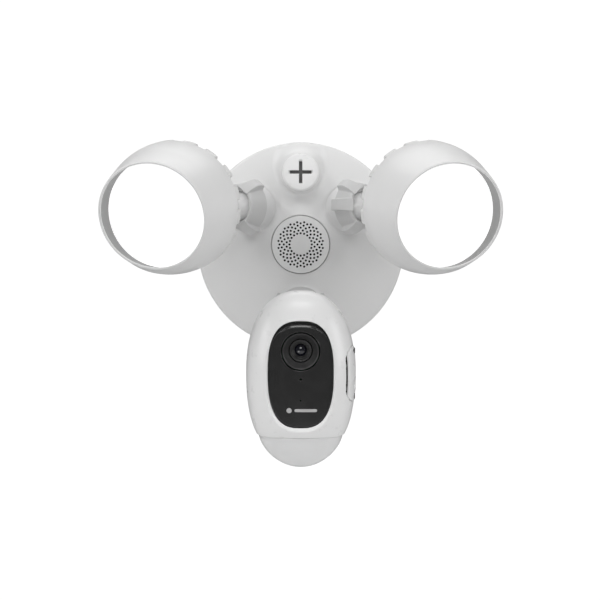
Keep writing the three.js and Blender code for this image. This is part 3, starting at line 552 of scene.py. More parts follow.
def diffuser_plastic():
    """Opal diffuser with a fine prismatic texture. Its faint white emission is painted light: the disc glows
    to look brighter.
    """
    finish = Finish("opal_diffuser_painted_glow", 0.4, Emission_Strength=0.72)
    finish.shader.inputs["Emission Color"].default_value = (1, 1, 1, 1)
    finish.colours(finish.noise(18, 2), grey(0.86), grey(0.9))
    finish.roughness(finish.noise(300, 3), 0.35, 0.5)
    finish.relief((finish.cells(900, randomness=0.2), 3e-5),)
    return finish.material


def sensor_plastic():
    """Thin white polyethylene that lets warmth through: glossy and a little translucent."""
    finish = Finish("sensor_dome_plastic", 0.2, Subsurface_Weight=0.25, Subsurface_Scale=0.004,
                    Coat_Weight=0.35, Coat_Roughness=0.08)
    finish.shader.inputs["Subsurface Radius"].default_value = (1.0, 0.95, 0.9)
    clouds = finish.noise(30, 4, 0.5)
    finish.colours(clouds, grey(0.92, 0.004), grey(0.95, 0.004))
    finish.roughness(finish.noise(240, 5), 0.16, 0.26)
    finish.relief((clouds, 5e-5), (finish.noise(1500, 2), 2e-6))
    return finish.material


def coated_glass():
    """Dark lens glass with a faint blue and violet coating."""
    finish = Finish("lens_glass_coated", 0.03, Coat_Weight=1.0, Coat_Roughness=0.02)
    finish.colours(finish.noise(70, 1), (0.006, 0.008, 0.016), (0.014, 0.009, 0.02))
    finish.roughness(finish.noise(90, 3), 0.02, 0.06)
    finish.relief((finish.noise(120, 2), 2e-6),)
    return finish.material


white_plastic = moulded("white_moulded_plastic", 0.8, 0.38, 2400, 7e-6)
satin_white = moulded("white_satin_plastic", 0.92, 0.3, 3000, 3e-6, Coat_Weight=0.15, Coat_Roughness=0.15)
# The nuts' white is set darker, 0.64 against 0.8: painted shade for the shadow on the nuts.
nut_plastic_painted_shade = moulded("white_nut_plastic_painted_shade", 0.64, 0.4, 2400, 7e-6)
# Dark grey for the deep faces of the screw slot: painted shade.
slot_painted_shade = moulded("screw_slot_painted_shade", 0.16, 0.6, 1400, 1.5e-5)
# Dark grey for the hood's inner wall: painted shade.
hood_wall_painted_shade = moulded("hood_wall_painted_shade_plastic", 0.3, 0.6, 1400, 1.5e-5)
white_metal = powder_coat("white_powder_coat", 0.78)
# The diffuser's glow is painted light.
opal_painted_glow = diffuser_plastic()
sensor_white = sensor_plastic()
panel_black = glossy_black("panel_black_gloss", 0.16, 0.02)
lens_black = moulded("lens_black_plastic", 0.03, 0.34, 1800, 8e-6, spread=0.1)
lens_satin = moulded("lens_funnel_plastic", 0.02, 0.42, 1500, 1e-5, spread=0.1)
matte_black = moulded("matte_black_plastic", 0.02, 0.6, 1500, 1.6e-5, spread=0.15)
glass = coated_glass()
dark_rubber = rubber("dark_rubber", 0.03, 1200)
grey_foam = rubber("grey_foam", 0.16, 420)
zinc = zinc_plate("zinc_plated_steel", 0.62)
dark_screw = zinc_plate("dark_screw_steel", 0.16, 0.5)
green_board = board("green_circuit_board", (0.012, 0.09, 0.035), (0.03, 0.17, 0.06))
white_board = board("white_circuit_board", (0.72, 0.72, 0.7), (0.6, 0.6, 0.57))
reflector_skin = zinc_plate("bright_reflector", 0.85, 0.2)
terminal_beige = moulded("beige_terminal_plastic", 0.42, 0.5, 1500, 1.5e-5, warm=0.25)
mark_grey = moulded("printed_mark", 0.5, 0.5, 2600, 4e-6)


def dress(names, material):
    """Gives CAD nodes that keep their shape a finished material."""
    for name in names:
        node = frame["nodes"][name]
        node.data.materials.clear()
        node.data.materials.append(material)
        node.data.shade_smooth()
        node.data.set_sharp_from_angle(angle=math.radians(30))


# ---- Base ----
def dome_depth(r):
    return DOME_EDGE + DOME_RISE * (1 - (r / DOME_RADIUS) ** 2)


def chain(p, centres, radii):
    """Distance to a tube through the centres, with a radius at each."""
    nearest = np.full(len(p), 1e9)
    for a, b, first, second in zip(centres, centres[1:], radii, radii[1:]):
        line = b - a
        share = np.clip((p - a) @ line / (line @ line), 0, 1)
        away = np.linalg.norm(p - a - share[:, None] * line, axis=1)
        nearest = np.minimum(nearest, away - first - share * (second - first))
    return nearest


def pedestal_path(name):
    """Centres and radii down from a socket's shoulder to the base, a little outward at the foot."""
    steps = 7
    local = np.array([(0, 0, SHOULDER + 4), (0, 0, SHOULDER), (0, 0, SHOULDER - 6)], float)
    start, top, bend = to_local(local, sockets[name], base_frame)
    foot = np.array((bend[0] + FOOT_SHIFT * SIDES[name], bend[1], 11.0))
    centres, radii = [start], [PEDESTAL_RADIUS]
    for k in range(steps + 1):
        t = k / steps
        centres.append(top * (1 - t) ** 2 + bend * 2 * t * (1 - t) + foot * t * t)
        radii.append(PEDESTAL_RADIUS + 1.4 * t ** 2.2)
    return centres, radii


def cover_distance():
    paths = {name: pedestal_path(name) for name in SIDES}

    def distance(p):
        r, depth = radial(p), p[:, 2]
        body = np.maximum(depth - dome_depth(r), r - BASE_RADIUS - 2)
        from_screw = np.hypot(p[:, 0], p[:, 1] - SCREW_Z)
        below = np.clip((PILLAR_DEPTH - depth) / 12.5, 0, 1.3)
        pillar = smooth_max(from_screw - PILLAR_RADIUS - 5.2 * below ** 2.4, depth - PILLAR_DEPTH, 1.2)
        body = smooth_min(body, pillar, 2.5)
        for name in SIDES:
            q = to_local(p, base_frame, sockets[name])
            around, along = radial(q), q[:, 2]
            tube = smooth_max(chain(p, *paths[name]), along - SHOULDER, 1.4)
            body = smooth_min(body, tube, 4)
            collar = np.maximum(around - COLLAR_RADIUS, np.abs(along + 3) - 4.5)
            body = np.minimum(body, collar)
            bore = np.maximum(around - 13.4, SEAT_BACK - GAP - along)
            body = np.maximum(body, -np.maximum(bore, -18 - along))
        body = smooth_max(body, r - BASE_RADIUS, 2.2)
        well = np.maximum(r - GRILLE_RADIUS - 0.4, 25 - depth)
        body = smooth_max(body, -well, 0.3)
        speaker_hole = np.maximum(r - GRILLE_RADIUS + 0.2, 10.7 - depth)
        body = np.maximum(body, -speaker_hole)
        screw_hole = np.maximum(from_screw - 2.8, 12 - depth)
        body = np.maximum(body, -screw_hole)
        return smooth_max(body, COVER_BACK - depth, 0.8)

    return distance


def grille_shape():
    outlines = [circle(0, 0, GRILLE_RADIUS, 96)]
    for row, radius in enumerate(GRILLE_RINGS):
        for i in range(20):
            turn = 2 * math.pi * (i + (row % 2) / 2) / 20
            outlines.append(circle(radius * math.cos(turn), radius * math.sin(turn), GRILLE_HOLE, 14))
    return plate(outlines, GRILLE_DEPTH - 2.2, GRILLE_DEPTH, 0.1)


def grille_hole_shade_zone(middles):
    """The walls of the holes take the black material: painted shade inside the holes."""
    return (radial(middles) < GRILLE_RADIUS - 2) & (np.abs(middles[:, 2] - GRILLE_DEPTH + 1.1) < 1.05)


def large_screw(p):
    """The cross-slotted screw on its shank. The slot's ends slope up to the face."""
    r, depth = radial(p), p[:, 2]
    crown = SCREW_TOP - 0.5 * (r / SCREW_HEAD_RADIUS) ** 2
    head = smooth_max(smooth_max(r - SCREW_HEAD_RADIUS, depth - crown, 1.6), 31.3 - depth, 0.6)
    below = np.maximum(SCREW_TOP - depth, 0)
    slot = np.full(len(p), 1e9)
    for across, along in ((p[:, 0], p[:, 1]), (p[:, 1], p[:, 0])):
        arm = np.maximum(np.abs(across) - 1.3 + 0.04 * below, np.abs(along) - 9.6 + 0.8 * below)
        slot = np.minimum(slot, np.maximum(arm, SCREW_TOP - 3.4 - depth))
    head = smooth_max(head, -slot, 0.3)
    shank = np.maximum(r - 2.5, np.abs(depth - 18) - 14)
    return np.minimum(head, shank)


def slot_shade_zone(middles):
    """The deep part of the slot takes a dark grey material: painted shade in the recess."""
    deep = (middles[:, 2] < SCREW_TOP - 1.6) & (middles[:, 2] > 31.6)
    return deep & (radial(middles) < 9.5)


def pan_head(p):
    """A small cross-recessed pan head screw that points along +z."""
    r, depth = radial(p), p[:, 2]
    head = smooth_max(r - 3, np.maximum(-depth + 0.06 * r ** 2, depth - 2.1), 0.8)
    slot = np.full(len(p), 1e9)
    for across, along in ((p[:, 0], p[:, 1]), (p[:, 1], p[:, 0])):
        slot = np.minimum(slot, np.maximum(np.abs(across) - 0.4, np.abs(along) - 1.7 + 0.8 * depth))
    head = np.maximum(head, -np.maximum(slot, depth - 1.3))
    return np.minimum(head, np.maximum(r - 1.4, np.abs(depth - 6.5) - 6.5))


def tray_shape():
    """The rear housing: a floor with stiffening rings, holes for cable, boss and screws, and a rim."""
    floor = plate([
        circle(0, 0, 76.4, 160), circle(CABLE_X, 0, 9, 40), circle(0, SCREW_Z, 7.4, 32),
        circle(-60, -22, 1.7, 16), circle(60, -22, 1.7, 16),
    ], 3.3, 5.8, 0.25)
    rim = lathe([(76.2, 3.3, 0.4), (78.5, 3.3, 0.6), (78.5, 10, 0.4), (76, 10, 0.4), (76.2, 5.8)], 160)
    return joined(floor, rim)


def bracket_shape():
    bar = plate([
        stadium(13, 64, 48), stadium(7.5, 2.5, 20, y=-40), stadium(7.5, 2.5, 20, y=32),
        circle(0, SCREW_Z, 2.8, 24), circle(0, 0, 3.2, 24), circle(0, -56, 2, 20),
    ], 0, 2, 0.3)
    boss = lathe([(2.8, 1.7), (6.9, 1.7), (6.6, 5.5, 0.8), (2.8, 5.5, 0.4)], 48)
    return joined(bar, moved(boss, Matrix.Translation((0, SCREW_Z, 0))))


def make_base():
    shape = sculpt(cover_distance(), (-81, -81, 3), (81, 81, 62), 0.8)
    piece("front_cover", shape, base_frame, "base", white_plastic,
          ["base_front_cover"], sculpted=True)
    # The holes' black walls are painted shade.
    piece("speaker_disc", grille_shape(), base_frame, "base", [white_plastic, matte_black],
          ["speaker_grille"], zone=grille_hole_shade_zone)
    shape = sculpt(large_screw, (-15.5, -15.5, 3), (15.5, 15.5, 36.5), 0.4)
    piece("large_cross_screw", shape, screw_frame, "large_screw", [satin_white, slot_painted_shade],
          ["mounting_screw"], zone=slot_shade_zone, sculpted=True)
    seal = lathe([(7, 29.6, 0.2), (9.6, 29.6, 0.2), (9.6, 31, 0.4), (7, 31, 0.4)], 48)
    piece("screw_seal", seal, screw_frame, "base", dark_rubber, ["mounting_screw_seal"])
    piece("rear_tray", tray_shape(), base_frame, "base", white_plastic,
          ["base_rear_housing"])
    piece("bracket_plate", bracket_shape(), base_frame, "base", zinc, ["wall_bracket"])
    ring = [(70, 0, 0.5), (78.8, 0, 0.5), (78.8, 3, 0.7), (76.5, 3, 0.3), (75.5, 2.5, 0.3), (73.5, 2.5, 0.3),
            (72.5, 3, 0.3), (70, 3, 0.7)]
    piece("wall_seal", lathe(ring, 160), base_frame, "base", grey_foam, ["wall_gasket"])
    grommet = [(6, 1.6, 0.7), (11, 1.6, 0.7), (11, 3, 0.2), (8.7, 3), (8.7, 6.1), (11, 6.1, 0.2),
               (11, 7.5, 0.7), (6, 7.5, 0.7), (6.5, 4.5, 0.6)]
    cable_frame = base_frame @ Matrix.Translation((CABLE_X, 0, 0))
    piece("cable_ring", lathe(grommet, 64), cable_frame, "base", dark_rubber,
          ["cable_grommet"])
    screw = sculpt(pan_head, (-3.6, -3.6, -0.6), (3.6, 3.6, 13.6), 0.2)
    for side, word in ((-1, "left"), (1, "right")):
        place = base_frame @ Matrix.Translation((side * 60, -22, 0.9))
        piece(f"rear_screw_{word}", screw, place, "base", zinc, [f"cover_screw_{word}"],
              sculpted=True)
    cone = [(0, 11), (9, 11, 0.6), (9, 16, 0.4), (12, 17, 0.6), (19.5, 22, 0.6), (21.5, 22, 0.5),
            (21.5, 25.2, 0.5), (17, 25.2, 0.8), (14.8, 24.4, 0.6), (6, 20.5, 0.6), (0, 21.5)]
    piece("speaker_cone", lathe(cone, 72), base_frame, "base", matte_black,
          ["speaker_driver"])
    dress(["power_board"], green_board)
    dress(["terminal_block"], terminal_beige)


# ---- Ball joints ----
def lock_nut_distance(turns):
    def distance(p):
        r, along = radial(p), p[:, 2]
        outer = 16.2 + 2.9 * (NUT_MOUTH - along) / 14.8
        skirt = smooth_max(r - outer, along - NUT_MOUTH, 1.8)
        skirt = smooth_max(skirt, NUT_BACK - along, 0.8)
        for turn in turns:
            c, s = math.cos(math.radians(turn)), math.sin(math.radians(turn))
            out = p[:, 0] * c + p[:, 1] * s
            across = np.abs(p[:, 1] * c - p[:, 0] * s)
            reach = LUG_RADIUS - 6.0 * np.clip((along + 0.5) / 10, 0, 1.2) ** 1.7
            lug = smooth_max(out - reach, across - 4.1 - 0.12 * (LUG_RADIUS - out), 0.35)
            lug = smooth_max(lug, np.maximum(NUT_BACK - along, 14 - out), 0.5)
            skirt = smooth_min(skirt, lug, 0.8)
        bore = np.where(along < 5.2, NUT_BORE, 13.1 + 0.16 * (along - 5.2))
        return smooth_max(skirt, bore - r, 0.5)

    return distance


def ball_stem(flange, start, end, groove, steps=()):
    """Ball, neck and spigot. steps are extra corners on the neck."""
    back = -math.sqrt(BALL_RADIUS ** 2 - 3.5 ** 2)
    front = math.sqrt(BALL_RADIUS ** 2 - 7.4 ** 2)
    ball = curve_points(back, front, 22, lambda z: (math.sqrt(BALL_RADIUS ** 2 - z * z), z))
    neck = [(7.4, 14.8, 2.5), *steps, (flange - 1.2, start - 1.8, 0.6), (flange, start, 0.3), (7, start)]
    spigot = [(7, groove - 2.5), (5.6, groove - 2.5), (5.6, groove + 2.5), (7, groove + 2.5), (7, end, 0.5),
              (3.5, end, 0.3)]
    return lathe([*ball, *neck, *spigot], 72)


def make_joint(name):
    place, body = sockets[name], f"{name}_nut"
    shape = sculpt(lock_nut_distance(LUG_TURNS[name]), (-24, -24, -6.4), (24, 24, 10.6), 0.42)
    # The nut's darker plastic is painted shade.
    piece(f"{name}_lugged_nut", shape, place, body, nut_plastic_painted_shade, [f"{name}_lock_nut"],
          sculpted=True)
    inner = curve_points(-0.2, -11, 10, lambda z: (math.sqrt(CUP_RADIUS ** 2 - z * z), z))
    seat = [*inner, (inner[-1][0], SEAT_BACK), (13.1, SEAT_BACK, 0.4), (13.1, -0.2, 0.3)]
    piece(f"{name}_ball_seat", lathe(seat, 64), place, "base", matte_black,
          [f"{name}_socket_seat"])
    inner = curve_points(4.9, 2.1, 6, lambda z: (math.sqrt(CUP_RADIUS ** 2 - z * z), z))
    ring = [*inner, (COLLAR_RADIUS, 2.1, 0.3), (COLLAR_RADIUS, 4.9, 0.3)]
    piece(f"{name}_grip_ring", lathe(ring, 64), place, "base", white_plastic,
          [f"{name}_friction_ring"])
    bead = [(1.6, -2.6, 0.3), (2.6, -1.9, 0.4), (3.1, 0, 0.6), (2.6, 1.9, 0.4), (1.6, 2.6, 0.3)]
    piece(f"{name}_wire_bead", lathe(bead, 40), place, f"{name}_ball_core", dark_rubber,
          [f"{name}_cable_bead"])


# ---- Lamps ----
def hood_radius(z):
    return RIM_RADIUS + (HOOD_RADIUS - RIM_RADIUS) * math.sin(math.pi / 2 * -z / HOOD_LENGTH)


def slant_rim(points, side):
    """Leans the front of the hood so that its rim is longer on top and on the outer side."""
    share = np.clip(1 + points[:, 2] / DIFFUSER_BACK, 0, 1)
    lean = share * (RIM_DOWN * points[:, 1] + side * RIM_INWARD * points[:, 0])
    return points + np.stack([0 * lean, 0 * lean, lean], 1)


def hood_shape(side):
    outer = [(hood_radius(z), z) for z in np.linspace(-1.2, -HOOD_LENGTH, 26)]
    inner = [(39.6 - 2.1 * t, -DIFFUSER_BACK * (1 - t)) for t in np.linspace(0.05, 0.93, 9)]
    profile = [
        *outer, (HOOD_RADIUS, -HOOD_LENGTH - 1.2, 0.5), (46.6, -HOOD_LENGTH - 1.2), (44.2, -30),
        (43, -24), (43, -DIFFUSER_BACK), (39.6, -DIFFUSER_BACK, 0.3), *inner,
        (RIM_RADIUS - 1.85, -0.1, 0.5), (RIM_RADIUS - 0.9, 0.75, 1.0), (RIM_RADIUS + 0.15, -0.35, 0.7),
    ]
    points, faces = lathe(profile, 160)
    return slant_rim(points, side), faces


def hood_shade_zone(side):
    """Faces of the inner wall in front of the diffuser take a dark grey material: painted shade on the white
    wall.
    """
    def zone(middles):
        flat = middles.copy()
        lean = RIM_DOWN * middles[:, 1] + side * RIM_INWARD * middles[:, 0]
        share = np.clip((1 + middles[:, 2] / DIFFUSER_BACK) / (1 + lean / DIFFUSER_BACK), 0, 1)
        flat[:, 2] -= share * lean
        inner = 37.5 - 2.1 * flat[:, 2] / DIFFUSER_BACK
        return (radial(flat) < inner + 0.6) & (flat[:, 2] > -DIFFUSER_BACK - 0.5) & (flat[:, 2] < -0.9)
    return zone


def heat_sink_distance(name):
    def distance(p):
        r, z = radial(p), p[:, 2]
        wall = HOOD_RADIUS - RIB_HEIGHT
        back = HEAT_SINK_BACK + 10 * (r / wall) ** 4.5
        body = smooth_max(r - wall, back - z, 4)
        pitch = 2 * math.pi / RIB_COUNT
        turn = np.arctan2(p[:, 1], p[:, 0])
        offset = pitch / 2 if LAMPS[name] < 0 else 0
        middle = np.round((turn - offset) / pitch) * pitch + offset
        across = np.abs(r * np.sin(turn - middle))
        rib_back = HEAT_SINK_BACK - 1.4 * np.clip((r - 30) / 10, 0, 1) + 11 * (r / HOOD_RADIUS) ** 4.5
        rib = smooth_max(r - HOOD_RADIUS, rib_back - z, 2.5)
        rib = smooth_max(rib, across - 5.2, 0.9)
        body = smooth_min(body, rib, 1.0)
        q = to_local(p, lamps[name], necks[name])
        along = q[:, 2]
        cone = radial(q) - np.interp(along, [33, 38, 47, 56], [11.3, 13.2, 16.4, 20])
        boss = smooth_max(cone, np.maximum(33.6 - along, along - 54), 0.9)
        body = smooth_min(body, boss, 5)
        body = np.maximum(body, -np.maximum(radial(q) - NECK_HOLE, along - 46.5))
        return smooth_max(body, z - HEAT_SINK_FRONT, 0.8)

    return distance


def make_lamp(name, side):
    place = lamps[name]
    piece(f"{name}_bell", hood_shape(side), place, name, [white_plastic, hood_wall_painted_shade],
          [f"{name}_hood"], zone=hood_shade_zone(side))
    shape = sculpt(heat_sink_distance(name), (-56, -56, -80), (56, 56, -47.5), 0.75)
    piece(f"{name}_ribbed_back", shape, place, name, white_metal, [f"{name}_heat_sink"],
          sculpted=True)
    front = -DIFFUSER_BACK - GAP
    disc = [(0, -21), (42.6, -21, 0.3), (42.6, front, 0.4), *[
        (r, front + 0.02 * (42 - r) ** 0.5) for r in (39, 34, 28, 20, 10)], (0, front + 0.13)]
    piece(f"{name}_opal_disc", lathe(disc, 128), place, name, opal_painted_glow, [f"{name}_diffuser"])
    stem = ball_stem(11.5, 33.3, 46, 40.5, [(7.6, 22, 0.8), (9.2, 23.2, 0.8), (9.2, 27.5, 0.8)])
    piece(f"{name}_ball_and_neck", stem, necks[name], f"{name}_stem", satin_white,
          [f"{name}_ball_stem"])
    dress([f"{name}_diffuser_gasket"], grey_foam)
    dress([f"{name}_reflector"], reflector_skin)
    dress([f"{name}_led_board"], white_board)
    dress([f"{name}_stem_screw"], zinc)


# ---- Camera head ----
def egg(p, inset):
    """Distance to the casing's outside, or to a layer that lies inset below it."""
    x, y, z = np.abs(p[:, 0]), p[:, 1], p[:, 2]
    reach = np.where(y > 0, HEAD_UP, HEAD_DOWN) - inset
    deep = np.where(z > 0, HEAD_FRONT, HEAD_REAR) - inset
    power = np.where(y > 0, OUTLINE_POWER_UP, OUTLINE_POWER_DOWN)
    flat = (x / (HEAD_HALF_WIDTH - inset)) ** power + np.abs(y / reach) ** power
    total = flat ** (DEPTH_POWER / power) + np.abs(z / deep) ** DEPTH_POWER
    return (total ** (1 / DEPTH_POWER) - 1) * 24


def window_edge(p, grow=0.0, top=0.0):
    """Distance across to the outline of the window's opening, grown all round and lowered at the top."""
    y = p[:, 1] - WINDOW_Y
    reach = np.where(y > 0, WINDOW_UP - top, WINDOW_DOWN) + grow
    flat = np.abs(p[:, 0] / (WINDOW_HALF_WIDTH + grow)) ** WINDOW_POWER + np.abs(y / reach) ** WINDOW_POWER
    return (flat ** (1 / WINDOW_POWER) - 1) * 27


def card_edge(p):
    """Distance across to the outline of the card cover on the right side."""
    along = np.abs(p[:, 1])
    straight = CARD_HALF_HEIGHT - CARD_HALF_WIDTH
    forward = p[:, 2] - CARD_Z
    forward -= np.clip(forward, 0, CARD_FRONT_REACH)
    return np.hypot(forward, np.maximum(along - straight, 0)) - CARD_HALF_WIDTH


def side_holes(p, radius):
    holes = np.full(len(p), 1e9)
    for end in (-1, 1):
        holes = np.minimum(holes, np.hypot(p[:, 1] - end * CARD_SCREW_Y, p[:, 2] - CARD_Z) - radius)
    return holes


def shell_distance(is_front):
    def distance(p):
        z = p[:, 2]
        wall = smooth_max(egg(p, 0), -egg(p, HEAD_WALL), 0.4)
        wall = smooth_max(wall, SENSOR_CUT - p[:, 1], 0.7)
        if is_front:
            wall = smooth_max(wall, PARTING - z, 0.5)
            flare = 1.1 * np.maximum(z - WINDOW_FRONT - 0.2, 0) * (p[:, 1] < 20)
            wall = smooth_max(wall, -np.maximum(window_edge(p) - flare, 5 - z), 0.45)
        else:
            wall = smooth_max(wall, z - PARTING + 1.2, 0.5)
            q = to_local(p, head_frame, necks["camera"])
            boss = np.maximum(radial(q) - 12, np.abs(q[:, 2] - 26.2) - 5.8)
            wall = smooth_min(wall, boss, 1.5)
            wall = np.maximum(wall, -np.maximum(radial(q) - NECK_HOLE, q[:, 2] - 40))
        recess = np.maximum(card_edge(p) - 0.35, -egg(p, 1.65))
        wall = smooth_max(wall, -np.maximum(recess, -p[:, 0]), 0.35)
        screw_hole = np.maximum(side_holes(p, 1.2), -p[:, 0])
        return np.maximum(wall, -screw_hole)

    return distance


def card_cover_distance(p):
    """The cover on the right side, with a wider groove along its front edge."""
    layer = np.maximum(egg(p, -0.4), -egg(p, 0.95))
    front_groove = p[:, 2] - CARD_Z - CARD_HALF_WIDTH - CARD_FRONT_REACH + 1.3
    plate_edge = smooth_max(card_edge(p), front_groove, 0.8)
    cover = smooth_max(layer, plate_edge, 0.5)
    cover = np.maximum(cover, 20 - p[:, 0])
    cover = smooth_max(cover, -np.maximum(side_holes(p, 2.3), 37.6 - p[:, 0]), 0.35)
    button = np.hypot(p[:, 1] - BUTTON_Y, p[:, 2] - CARD_Z) - 2.3
    return smooth_max(cover, -button, 0.35)


def card_screw(p):
    """A countersunk cross-recess screw that points along +z."""
    r, depth = radial(p), p[:, 2]
    head = smooth_max(r - 2.05, np.abs(depth - 0.33) - 0.33, 0.25)
    slot = np.minimum(np.maximum(np.abs(p[:, 0]) - 0.3, np.abs(p[:, 1]) - 1.4),
                      np.maximum(np.abs(p[:, 1]) - 0.3, np.abs(p[:, 0]) - 1.4))
    head = np.maximum(head, -np.maximum(slot, depth - 0.4))
    return np.minimum(head, np.maximum(r - 0.9, np.abs(depth - 2.5) - 2.5))


def window_distance(p):
    """The pane with a wide bevel, on a thin black flange behind the casing. The flange's black shows in the
    gap above the pane as painted shade.
    """
    z = p[:, 2]
    outline = window_edge(p, -0.1, WINDOW_TOP_GAP - 0.1)
    pane = np.maximum(outline, np.maximum(z - WINDOW_FRONT, WINDOW_FRONT - 3 - z))
    bevel = 0.35 + 1.15 * np.clip((p[:, 1] - 26) / 8, 0, 1)
    pane = np.maximum(pane, (outline + z - WINDOW_FRONT + bevel) * 0.707)
    # The black flange stands in for the shade in the gap above the pane: painted shade.
    flange = np.maximum(window_edge(p, 0.9), np.abs(z - WINDOW_FRONT + 3.4) - 0.6)
    body = np.minimum(pane, flange)
    body = smooth_max(body, LENS_HOLE - np.hypot(p[:, 0], p[:, 1] - LENS_Y), 0.2)
    body = np.maximum(body, 0.9 - np.hypot(p[:, 0], p[:, 1] - MICROPHONE_Y))
    return np.maximum(body, 0.65 - np.hypot(p[:, 0], p[:, 1] - INDICATOR_Y))


def seal_shape():
    """The flat ring between the two shells, cut off above the sensor dome."""
    count = 160
    low, high = PARTING - 0.9, PARTING - 0.3
    outside, inside = 0.9, 3.4
    section = ((outside, low), (outside, high), (inside, high), (inside, low))
    points, faces = [], []
    for k in range(count):
        turn = 2 * math.pi * k / count
        c, s = math.cos(turn), math.sin(turn)
        for inset, z in section:
            reach = (HEAD_UP if s > 0 else HEAD_DOWN) - inset
            power = OUTLINE_POWER_UP if s > 0 else OUTLINE_POWER_DOWN
            size = abs(c / (HEAD_HALF_WIDTH - inset)) ** power + abs(s / reach) ** power
            size = size ** (-1 / power)
            points.append((size * c, max(size * s, SENSOR_CUT + 0.3), z))
        start, after = 4 * k, 4 * ((k + 1) % count)
        faces += [[start + i, start + (i + 1) % 4, after + (i + 1) % 4, after + i] for i in range(4)]
    return np.array(points), faces


def sensor_dome_shape():
    """The dome under the head, a thin shell with a rim."""
    half_width, half_depth, height, wall = 30.8, 17.4, 24.6, 1.4
    top = SENSOR_CUT - GAP
    segments, rows = 128, 40
    points, faces = [], []
    for inset in (0, wall):
        for row in range(rows + 1):
            share = math.sin(math.pi / 2 * row / rows)
            drop = (height - inset) * (1 - share ** 2) ** 0.66
            for k in range(segments):
                turn = 2 * math.pi * k / segments
                points.append((share * (half_width - inset) * math.cos(turn), top - drop,
                               0.4 + share * (half_depth - inset) * math.sin(turn)))
    layer = (rows + 1) * segments
    for start in (0, layer):
        for row in range(rows):
            for k in range(segments):
                a, b = start + row * segments + k, start + row * segments + (k + 1) % segments
                faces.append([a, b, b + segments, a + segments])
    for k in range(segments):
        a, b = rows * segments + k, rows * segments + (k + 1) % segments
        faces.append([a, b, b + layer, a + layer])
    return np.array(points), faces


def make_lens():
    funnel = [(12.6 - 3.2 * t, 19.3 - 4.2 * t ** 0.9) for t in np.linspace(0.04, 1, 10)]
    bezel = [(8.7, 12.8), (12, 12.8), (12, 16), (13.2, 16.4, 0.3), (13.2, 19.5, 0.4), *funnel,
             (9.0, 14.7, 0.2), (8.7, 14.2)]
    piece("lens_surround", lathe(bezel, 128), lens_frame, "camera_head", lens_black,
          ["lens_bezel"])
    barrel = [(4.5, 1.5), (8.5, 1.5), (8.5, 13.4, 0.2), (8.2, 14.3, 0.2), (7.9, 14.7, 0.3), (6.6, 14.3, 0.3),
              (6.4, 12.9, 0.2), (5.6, 12.5, 0.2), (5.4, 11.6, 0.2), (4.6, 11.2, 0.2)]
    piece("lens_tube", lathe(barrel, 96), lens_frame, "camera_head", lens_satin,
          ["lens_barrel"])
    dome = [(4.4 * math.sin(t), 10.2 + 2.4 * math.cos(t)) for t in np.linspace(math.pi / 2, 0, 14)]
    element = [(0, 9), (4.4, 9, 0.1), *dome]
    piece("lens_front_element", lathe(element, 96), lens_frame, "camera_head", glass,
          ["lens_glass"])


def make_head():
    low, high = (-42, -47, -25.5), (42, 62, 26.5)
    shape = sculpt(shell_distance(True), (low[0], low[1], PARTING - 1.2), high, 0.55)
    piece("front_casing", shape, head_frame, "camera_head", satin_white,
          ["camera_front_shell"], sculpted=True)
    shape = sculpt(shell_distance(False), (low[0], low[1], -27), (high[0], high[1], PARTING), 0.55)
    piece("rear_casing", shape, head_frame, "camera_head", satin_white,
          ["camera_rear_shell"], sculpted=True)
    piece("casing_seal", seal_shape(), head_frame, "camera_head", grey_foam,
          ["camera_shell_seal"])
    shape = sculpt(window_distance, (-26, -40, 14), (26, 42, 20), 0.32)
    piece("dark_window", shape, head_frame, "camera_head", panel_black, ["camera_window"],
          sculpted=True)
    ink = (WINDOW_FRONT - 0.1, WINDOW_FRONT + 0.08, 0.03)
    bar = moved(plate([stadium(8.2, 1.1, 20, x=1.5)], *ink), Matrix.Translation((2.2, 0, 0)))
    dot = moved(plate([circle(0, 0, 1.9, 24)], *ink), Matrix.Translation((-8.4, 0, 0)))
    place = head_frame @ Matrix.Translation((0, MARK_Y, 0))
    piece("printed_bar", joined(bar, dot), place, "camera_head", mark_grey)
    piece("sensor_dome", sensor_dome_shape(), head_frame, "camera_head", sensor_white,
          ["motion_sensor_lens"])
    make_lens()
    shape = sculpt(card_cover_distance, (27, -22, -7), (42.5, 22, 18), 0.3)
    piece("side_cover", shape, head_frame, "camera_head", satin_white, ["card_cover"],
          sculpted=True)
    screw = sculpt(card_screw, (-2.8, -2.8, -0.5), (2.8, 2.8, 5.5), 0.16)
    for end, word in ((1, "upper"), (-1, "lower")):
        turned = Matrix.Rotation(math.pi, 4, "X")
        turned.translation = (0, end * CARD_SCREW_Y, 39.6)
        piece(f"side_screw_{word}", screw, card_frame @ turned, "camera_head", dark_screw,
              [f"card_cover_screw_{word}"], sculpted=True)
    button = [(0, 36.9), (2.8, 36.9, 0.2), (2.8, 37.5), (2, 37.5), (2, 40.3, 0.5), (0.8, 40.35, 0.2),
              (0, 40.2)]
    piece("round_button", lathe(button, 48), card_frame @ Matrix.Translation((0, BUTTON_Y, 0)),
          "reset_button", satin_white, ["reset_button"])
    piece("camera_ball_and_neck", ball_stem(11, 20, 30, 26.5), necks["camera"], "camera_stem", satin_white,
          ["camera_ball_stem"])
    dress(["image_sensor_board", "camera_main_board", "motion_sensor"], green_board)
    dress(["memory_card"], matte_black)
    dress(["card_cover_gasket"], dark_rubber)
    dress(["camera_stem_screw"], zinc)


make_base()
for joint_name in SIDES:
    make_joint(joint_name)
for lamp_name, lamp_side in LAMPS.items():
    make_lamp(lamp_name, lamp_side)
make_head()


# ---- Stage ----
FLOOR_Z = -0.60


def softbox(name, location, target, width, height, energy):
    data = bpy.data.lights.new(name, "AREA")
    data.shape = "RECTANGLE"
    data.size, data.size_y, data.energy = width, height, energy
    lamp = bpy.data.objects.new(name, data)
    lamp.location = location
    lamp.rotation_euler = (Vector(target) - Vector(location)).to_track_quat("-Z", "Y").to_euler()
    bpy.context.scene.collection.objects.link(lamp)


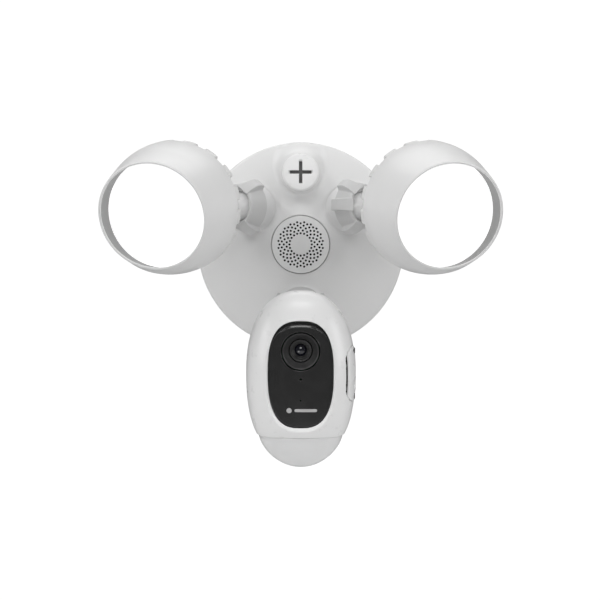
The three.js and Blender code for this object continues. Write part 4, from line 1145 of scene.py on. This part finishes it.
def make_stage():
    points, faces = lathe([(0, -4), (1500, -4, 2), (1500, 0, 2), (0, 0)], 128)
    finish = Finish("pale_floor", 0.7)
    finish.colours(finish.noise(6, 5), grey(0.9), grey(0.93))
    finish.roughness(finish.noise(40, 4), 0.6, 0.8)
    finish.relief((finish.noise(300, 3), 1e-5),)
    mesh = bpy.data.meshes.new("floor")
    mesh.from_pydata((points * MM).tolist(), [], faces)
    mesh.materials.append(finish.material)
    floor = bpy.data.objects.new("floor", mesh)
    floor.location = (0, 0, FLOOR_Z)
    bpy.context.scene.collection.objects.link(floor)

    softbox("high_key", (0.0, -0.35, 1.30), (0, -0.05, 0), 0.6, 0.4, 0.6)
    softbox("front_key", (0.0, -0.90, 1.10), (0, -0.05, 0), 0.7, 0.4, 3.4)
    softbox("back_rim", (0.0, 0.35, 0.90), (0, -0.05, 0), 1.2, 0.3, 3.0)
    softbox("front_fill", (0.0, -1.70, 0.25), (0, 0, 0), 0.6, 0.5, 3.0)
    softbox("upper_left", (-0.8, -0.50, 0.90), (0, -0.05, 0), 0.4, 0.4, 4.4)
    softbox("upper_right", (0.8, -0.50, 0.90), (0, -0.05, 0), 0.4, 0.4, 3.0)
    softbox("left_fill", (-1.2, -0.70, 0.15), (0, -0.05, 0), 0.5, 0.8, 4.0)
    softbox("right_fill", (1.2, -0.70, 0.15), (0, -0.05, 0), 0.5, 0.8, 5.0)
    softbox("low_card", (-0.35, -0.85, -0.55), (0, -0.08, -0.15), 0.25, 0.2, 0.5)

    world = bpy.data.worlds.new("studio")
    bpy.context.scene.world = world
    world.use_nodes = True
    tree = world.node_tree
    around = tree.nodes["Background"]
    around.inputs["Color"].default_value = (1, 1, 1, 1)
    around.inputs["Strength"].default_value = 0.1
    seen = tree.nodes.new("ShaderNodeBackground")
    seen.inputs["Color"].default_value = (1, 1, 1, 1)
    seen.inputs["Strength"].default_value = 1.05
    path = tree.nodes.new("ShaderNodeLightPath")
    mix = tree.nodes.new("ShaderNodeMixShader")
    tree.links.new(path.outputs["Is Camera Ray"], mix.inputs["Fac"])
    tree.links.new(around.outputs["Background"], mix.inputs[1])
    tree.links.new(seen.outputs["Background"], mix.inputs[2])
    tree.links.new(mix.outputs["Shader"], tree.nodes["World Output"].inputs["Surface"])
    bpy.context.scene.view_settings.view_transform = "Standard"


make_stage()
